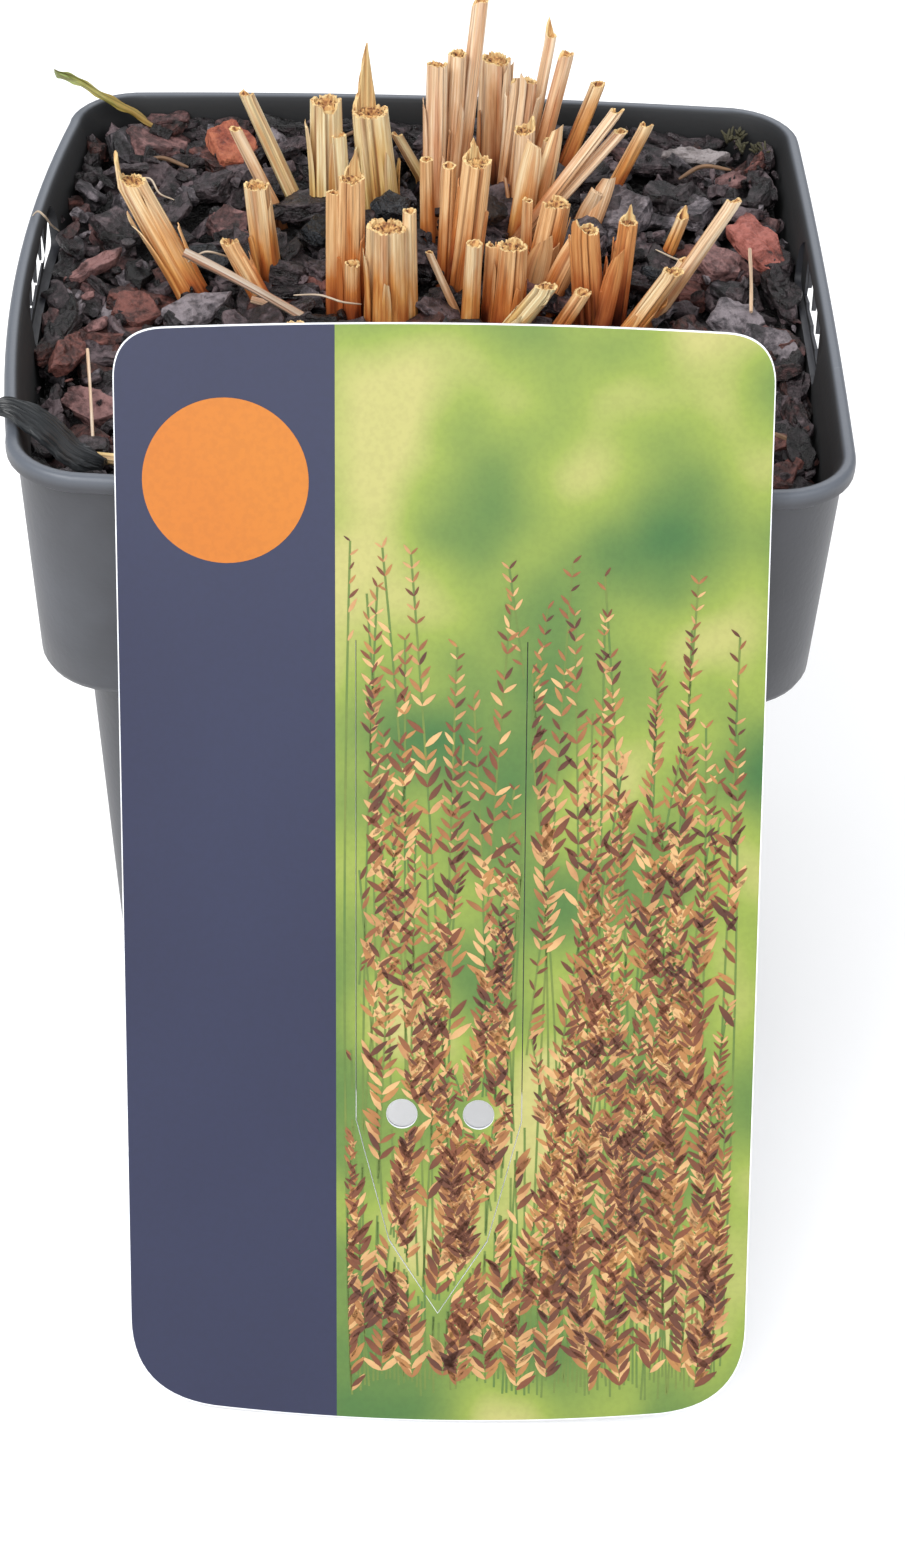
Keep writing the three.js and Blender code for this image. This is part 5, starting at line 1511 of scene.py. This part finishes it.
def moss_tuft(x, y, draw, seed):
    """A few short moss shoots that fan out from one place."""
    shoots = []
    for i in range(MOSS_SHOOTS):
        turn, lean = 2 * math.pi * draw(), 0.4 + 0.8 * draw()
        rise = 0.4 + 0.8 * draw()
        points = [(x, y, 0.1), (x + 0.5 * lean * math.cos(turn), y + 0.5 * lean * math.sin(turn),
                               0.7 * rise + 0.3),
                  (x + lean * math.cos(turn), y + lean * math.sin(turn), rise + 0.4)]
        shoots.append(thread(on_bark(points), MOSS_SHOOT_RADIUS, seed + i, 4))
    return shoots


def build_threads():
    hair = plain_fibre("bleached_hair_root", "#cdbba4", 0.5)
    brown = plain_fibre("brown_root", "#7d5f45", 0.7)
    green = plain_fibre("moss_shoots", "#3f3c26", 0.8)
    for name, routes, radius, kind, material, slot in (
            ("hair_roots", HAIRS, HAIR_RADIUS, "hair", hair, "straw_pale"),
            ("fine_roots", ROOTS, ROOT_RADIUS, "root", brown, "straw_weathered")):
        threads = [thread(on_bark(points), radius, seed)
                   for seed, points in enumerate(routes, FIRST_SEED[kind])]
        add_piece(name, threads, [material], slot, sharp_angle=THREAD_SHARP_ANGLE)
    draw = seeded_random(DRAW_SEED["moss"])
    shoots = []
    for i in range(MOSS_TUFTS):
        x, y = MOSS_CORNER[0] + MOSS_SPREAD[0] * draw(), MOSS_CORNER[1] + MOSS_SPREAD[1] * draw()
        if inside_wall(x, y, 1.2):
            shoots += moss_tuft(x, y, draw, FIRST_SEED["moss tuft"] + 9 * i)
    add_piece("moss", shoots, [green], "leaf_green", sharp_angle=THREAD_SHARP_ANGLE)


def bent_line(start, middle, end, steps):
    """Points along a shallow curve, without its last one."""
    share = np.arange(steps)[:, None] / steps
    start, middle, end = np.array(start), np.array(middle), np.array(end)
    return ((1 - share) ** 2 * start + 2 * share * (1 - share) * middle + share ** 2 * end).tolist()


def label_outline(inset):
    """The card's outline, across and up from its top edge: a shallow arch above and below."""
    half, length = LABEL_WIDTH / 2 - inset, LABEL_LENGTH - inset
    top, bottom, arch, rise = LABEL_HEAD_CORNER, LABEL_FOOT_CORNER, LABEL_FOOT_ARCH, LABEL_HEAD_RISE
    left_low, right_low = (-half + bottom, -length + 0.5 * arch), (half - bottom, -length + 0.5 * arch)
    right_high, left_high = (half - top, -rise - inset), (-half + top, -rise - inset)
    low_shoulder, high_shoulder = -length + bottom + arch, -top - 1 - inset
    halfway = -60
    return (bent_line((-half, low_shoulder), (-half, -length + arch), left_low, 14)
            + bent_line(left_low, (0, -length - 0.5 * arch), right_low, 30)
            + bent_line(right_low, (half, -length + arch), (half, low_shoulder), 14)
            + bent_line((half, low_shoulder), (half, halfway), (half, high_shoulder), 2)
            + bent_line((half, high_shoulder), (half, -1 - inset), right_high, 14)
            + bent_line(right_high, (0, rise - inset), left_high, 30)
            + bent_line(left_high, (-half, -1 - inset), (-half, high_shoulder), 14)
            + bent_line((-half, high_shoulder), (-half, halfway), (-half, low_shoulder), 2))


def side_of(outline, edge, side):
    """The part of an outline on one side (-1 left, 1 right) of an upright line."""
    kept = []
    for (x, z), (next_x, next_z) in zip(outline, outline[1:] + outline[:1]):
        if side * (x - edge) >= 0:
            kept.append((x, z))
        if (x - edge) * (next_x - edge) < 0:
            share = (edge - x) / (next_x - x)
            kept.append((edge, z + share * (next_z - z)))
    return kept


def circle_outline(x, down, radius, steps=40):
    turns = np.linspace(0, 2 * np.pi, steps, endpoint=False)
    return [(x + radius * math.cos(t), -down + radius * math.sin(t)) for t in turns]


def tongue_slit():
    """The knife cut round the tongue, which still hangs on the card at its top."""
    half, neck = TONGUE_HALF_WIDTH, TONGUE_NECK_HALF_WIDTH
    line = [(-half, TONGUE_START), (-half, TONGUE_SHOULDER), (-neck, TONGUE_NECK), (0, TONGUE_TIP),
            (neck, TONGUE_NECK), (half, TONGUE_SHOULDER), (half, TONGUE_START)]
    inner = [(x * (1 - TONGUE_SLIT / half), down - (1.5 * TONGUE_SLIT if down > TONGUE_SHOULDER else 0))
             for x, down in line]
    return [(x, -down) for x, down in line + inner[::-1]]


def cut_plate(name, outlines, back, front):
    """A plate in the card's plane, with holes, from one depth to another in front of its back."""
    curve = bpy.data.curves.new(name, "CURVE")
    curve.dimensions = "2D"
    curve.fill_mode = "BOTH"
    curve.extrude = (front - back) / 2 * MM
    for outline in outlines:
        spline = curve.splines.new("POLY")
        spline.points.add(len(outline) - 1)
        for point, (x, z) in zip(spline.points, outline):
            point.co = (x * MM, z * MM, 0, 1)
        spline.use_cyclic_u = True
    holder = new_object(name, curve)
    shape = holder.evaluated_get(bpy.context.evaluated_depsgraph_get())
    mesh = bpy.data.meshes.new_from_object(shape)
    bpy.data.objects.remove(holder)
    upright = (Matrix.Translation((0, -(front + back) / 2 * MM, 0))
               @ Matrix.Rotation(math.pi / 2, 4, "X"))
    work = bmesh.new()
    work.from_mesh(mesh)
    bmesh.ops.remove_doubles(work, verts=work.verts, dist=0.001 * MM)
    bmesh.ops.transform(work, matrix=upright, verts=work.verts)
    bmesh.ops.recalc_face_normals(work, faces=work.faces)
    work.to_mesh(mesh)
    work.free()
    return new_object(name, mesh)


def label_place():
    """Where the card's own frame is: its top edge's middle, as it leans on the lip."""
    turn = (Matrix.Rotation(LABEL_YAW, 4, "Z") @ Matrix.Rotation(-LABEL_LEAN, 4, "X")
            @ Matrix.Rotation(LABEL_ROLL, 4, "Y"))
    contact = Vector((LABEL_SIDE_SHIFT, -RIM_HALF_WIDTH - RIM_BULGE["front"] - LABEL_GAP, POT_HEIGHT))
    up = turn @ Vector((0, 0, 1))
    return Matrix.Translation((contact + up * LABEL_ABOVE_RIM) * MM) @ turn


def near_cut(x, down, reach):
    """Whether a printed mark would lie over a punched hole or the tongue's slit."""
    if any(math.hypot(x - hx, down - hd) < LABEL_HOLE_RADIUS + reach for hx, hd in LABEL_HOLES):
        return True
    half = float(np.interp(down, [TONGUE_SHOULDER, TONGUE_NECK, TONGUE_TIP],
                           [TONGUE_HALF_WIDTH, TONGUE_NECK_HALF_WIDTH, 0]))
    beside_tongue = TONGUE_START - reach < down < TONGUE_TIP + 0.4 + reach
    return beside_tongue and abs(abs(x) - half) < reach + PRINT_CLEAR_OF_SLIT


def on_field(x, down, reach):
    """Whether a printed mark lies wholly on the green field."""
    right, bottom = LABEL_WIDTH / 2 - 1 - reach, LABEL_LENGTH - 2.4 - reach
    past_corner = math.hypot(max(0, x - right + LABEL_FOOT_CORNER),
                             max(0, down - bottom + LABEL_FOOT_CORNER)) > LABEL_FOOT_CORNER
    return (BAND_RIGHT_EDGE + 0.5 + reach < x < right and 2 + reach < down < bottom
            and not past_corner and not near_cut(x, down, reach))


def printed_leaf(x, down, length, width, turn, front):
    """A flat lance-shaped leaf of ink that starts at a place on its stem."""
    spread = np.array([0, 0.55, 1, 0.9, 0.5, 0, -0.5, -0.9, -1, -0.55])
    along = length * np.array([0, 0.12, 0.35, 0.6, 0.85, 1, 0.85, 0.6, 0.35, 0.12])
    across = 0.5 * width * spread
    px = x + along * math.cos(turn) - across * math.sin(turn)
    pz = -(down + along * math.sin(turn) + across * math.cos(turn))
    rings = [np.stack([px, np.full(len(px), -front + depth), pz], 1)
             for depth in (PRINT_THICKNESS, 0)]
    return loft(rings)


def printed_line(points, width, front):
    """A thin ribbon of ink along a line on the card."""
    points = np.array(points)
    ahead = np.gradient(points, axis=0)
    ahead /= np.linalg.norm(ahead, axis=1)[:, None]
    side = np.stack([-ahead[:, 1], ahead[:, 0]], 1) * width / 2
    back = -front + PRINT_THICKNESS
    rings = [[(lx, -front, -ld), (hx, -front, -hd), (hx, back, -hd), (lx, back, -ld)]
             for (lx, ld), (hx, hd) in zip(points - side, points + side)]
    return loft(rings)


def sprig_line(draw, number):
    """The bent stem of one sprig, from its foot near the card's lower edge to its tip."""
    feet, tips = SPRIG_FEET, SPRIG_TIPS
    foot = (feet["left"] + (feet["right"] - feet["left"]) * ((number * FOOT_STEP) % 1),
            feet["down"] - 3 * draw())
    tip_across = foot[0] + 14 * (draw() - 0.5)
    tip = (min(max(tip_across, tips["left"]), tips["right"]),
           tips["highest"] + (tips["lowest"] - tips["highest"]) * ((number * TIP_STEP) % 1))
    bend = (foot[0] + 3 * (draw() - 0.5), 0.5 * (foot[1] + tip[1]))
    return bent_line(foot, bend, tip, SPRIG_STEPS)


def unbroken_runs(line, reach):
    """The parts of a line that lie wholly on the green field."""
    run = []
    for place in line + [(0, 0)]:
        if on_field(*place, reach):
            run.append(place)
            continue
        if len(run) > 3:
            yield run
        run = []


def sprig_leaves(draw, line):
    """The paired lance-shaped leaves along a stem's upper part, smaller towards its tip, each with
    the number of its ink."""
    height = math.dist(line[0], line[-1])
    leafy = min(SPRIG_STEPS - 1, round(SPRIG_LEAFY_LENGTH / height * SPRIG_STEPS))
    for step in range(SPRIG_STEPS - leafy, SPRIG_STEPS):
        (x, down), (last_x, last_down) = line[step], line[step - 1]
        ahead = math.atan2(down - last_down, x - last_x)
        size = 0.4 + 0.6 * (SPRIG_STEPS - step) / leafy
        for side in (-1, 1):
            length = (2 + 1.2 * draw()) * size
            turn = ahead + side * (0.45 + 0.5 * draw())
            ink = min(2, int(3 * draw()))
            places = [(x + share * length * math.cos(turn), down + share * length * math.sin(turn))
                      for share in (0, 0.35, 0.7, 1)]
            if draw() < SPRIG_LEAVES_KEPT and all(on_field(*place, 0.3) for place in places):
                yield ink, printed_leaf(x, down, length, SPRIG_LEAF_WIDTH_SHARE * length, turn,
                                        LABEL_THICKNESS - 0.005 * ink)


def leafy_sprigs():
    """The printed motif, a thicket of sprigs: their stems, and their leaves in three inks."""
    draw = seeded_random(DRAW_SEED["sprigs"])
    stems, leaves = [], [[], [], []]
    for number in range(SPRIGS):
        line = sprig_line(draw, number)
        stems += [printed_line(run, SPRIG_STEM_WIDTH, LABEL_THICKNESS - 0.02)
                  for run in unbroken_runs(line, 0.2)]
        for ink, leaf in sprig_leaves(draw, line):
            leaves[ink].append(leaf)
    return stems, leaves


# The inks on the label: the stops of their colours, and how wide their patches are.
INKS = {
    "navy": ([(0.3, "#171c3a"), (0.7, "#1c2240")], 30),
    "green": ([(0.3, "#2e5c28"), (0.43, "#5c7630"), (0.55, "#7e8f38"), (0.66, "#a5a160")], 18),
    "orange": ([(0.3, "#b26309"), (0.7, "#b56a0c")], 20),
    "olive": ([(0.3, "#4c6a2a"), (0.7, "#66752f")], 8),
    "dark_brown": ([(0.35, "#4a2413"), (0.65, "#6f3c1f")], 5),
    "brown": ([(0.35, "#7d4a28"), (0.65, "#a0703c")], 5),
    "light_brown": ([(0.35, "#a5774a"), (0.65, "#c39b68")], 5),
}
LEAF_INKS = ["dark_brown", "brown", "light_brown"]


def label_plates():
    """The card, and the flat areas of ink on it, with the name of each one's ink."""
    holes = [circle_outline(x, down, LABEL_HOLE_RADIUS) for x, down in LABEL_HOLES] + [tongue_slit()]
    back, front = LABEL_THICKNESS - 2 * PRINT_THICKNESS, LABEL_THICKNESS - PRINT_THICKNESS
    printed = label_outline(PRINT_INSET)
    spot = circle_outline(*SPOT_CENTRE, SPOT_RADIUS, 72)
    card = cut_plate("label_card", [label_outline(0)] + holes, 0, back)
    band = cut_plate("label_band", [side_of(printed, BAND_RIGHT_EDGE, -1)], back, front)
    field = cut_plate("label_field", [side_of(printed, BAND_RIGHT_EDGE, 1)] + holes, back, front)
    return card, [(band, "navy"), (field, "green"),
                  (cut_plate("label_spot", [spot], front, LABEL_THICKNESS), "orange")]


def build_label():
    inks = {name: offset_ink(name + "_ink", *look) for name, look in INKS.items()}
    card, printed = label_plates()
    stems, leaves = leafy_sprigs()
    printed.append((add_mesh("label_stems", stems, PRINT_SHARP_ANGLE), "olive"))
    for i, bodies in enumerate(leaves):
        printed.append((add_mesh("label_leaves_" + str(i), bodies, PRINT_SHARP_ANGLE), LEAF_INKS[i]))
    pieces = [(card, label_plastic(), ["plant_label"])]
    pieces += [(piece, inks[ink], []) for piece, ink in printed]
    for piece, material, replaced in pieces:
        piece.matrix_world = label_place()
        finish_piece(piece, [material], "label_card", replaced)


def build_mix():
    """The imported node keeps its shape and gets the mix's look."""
    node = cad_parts["potting_mix"]
    node.data.materials.clear()
    node.data.materials.append(peat_mix())


def build_board():
    """The white board under the pot, which is no part of the object."""
    half = BOARD_HALF_WIDTH
    rings = [[(-half, -half, z), (half, -half, z), (half, half, z), (-half, half, z)]
             for z in (-BOARD_THICKNESS, 0)]
    board = add_mesh("floor", [loft(rings)], POT_SHARP_ANGLE)
    board.data.materials.append(pale_board())


def build_lights():
    world = bpy.data.worlds.new("studio")
    bpy.context.scene.world = world
    world.use_nodes = True
    sky = world.node_tree.nodes["Background"]
    sky.inputs["Color"].default_value = linear("#f4f6fa")
    sky.inputs["Strength"].default_value = SKY_STRENGTH
    for name, place, size, power in LAMPS:
        lamp = bpy.data.lights.new(name, "AREA")
        lamp.size = size * MM
        lamp.energy = power
        holder = new_object(name, lamp)
        holder.location = Vector(place) * MM
        ahead = Vector(LAMP_AIM) - Vector(place)
        holder.rotation_euler = ahead.to_track_quat("-Z", "Y").to_euler()
    bpy.context.scene.view_settings.view_transform = "Standard"


def build_camera():
    pan, pitch, roll = CAMERA_PAN, CAMERA_PITCH, CAMERA_ROLL
    ahead = Vector((math.sin(pan) * math.cos(pitch), math.cos(pan) * math.cos(pitch), -math.sin(pitch)))
    right = Vector((math.cos(pan), -math.sin(pan), 0))
    up = right.cross(ahead)
    rolled_right = right * math.cos(roll) + up * math.sin(roll)
    rolled_up = up * math.cos(roll) - right * math.sin(roll)
    lens = bpy.data.cameras.new("camera")
    lens.sensor_fit = "AUTO"
    lens.sensor_width = SENSOR_WIDTH
    lens.lens = FOCAL_PIXELS / max(PHOTO_SIZE) * SENSOR_WIDTH
    lens.clip_start = 0.01
    camera = new_object("camera", lens)
    turn = Matrix((rolled_right, rolled_up, -ahead)).transposed().to_4x4()
    camera.matrix_world = Matrix.Translation(Vector(CAMERA_PLACE) * MM) @ turn
    bpy.context.scene.camera = camera


def write_sizes():
    """Brings the scene's placement up to date."""
    bpy.context.view_layer.update()


build_camera()
build_board()
build_lights()
build_pot()
build_mix()
build_bark()
build_tufts()
build_straws()
build_leaves()
build_threads()
build_label()
write_sizes()
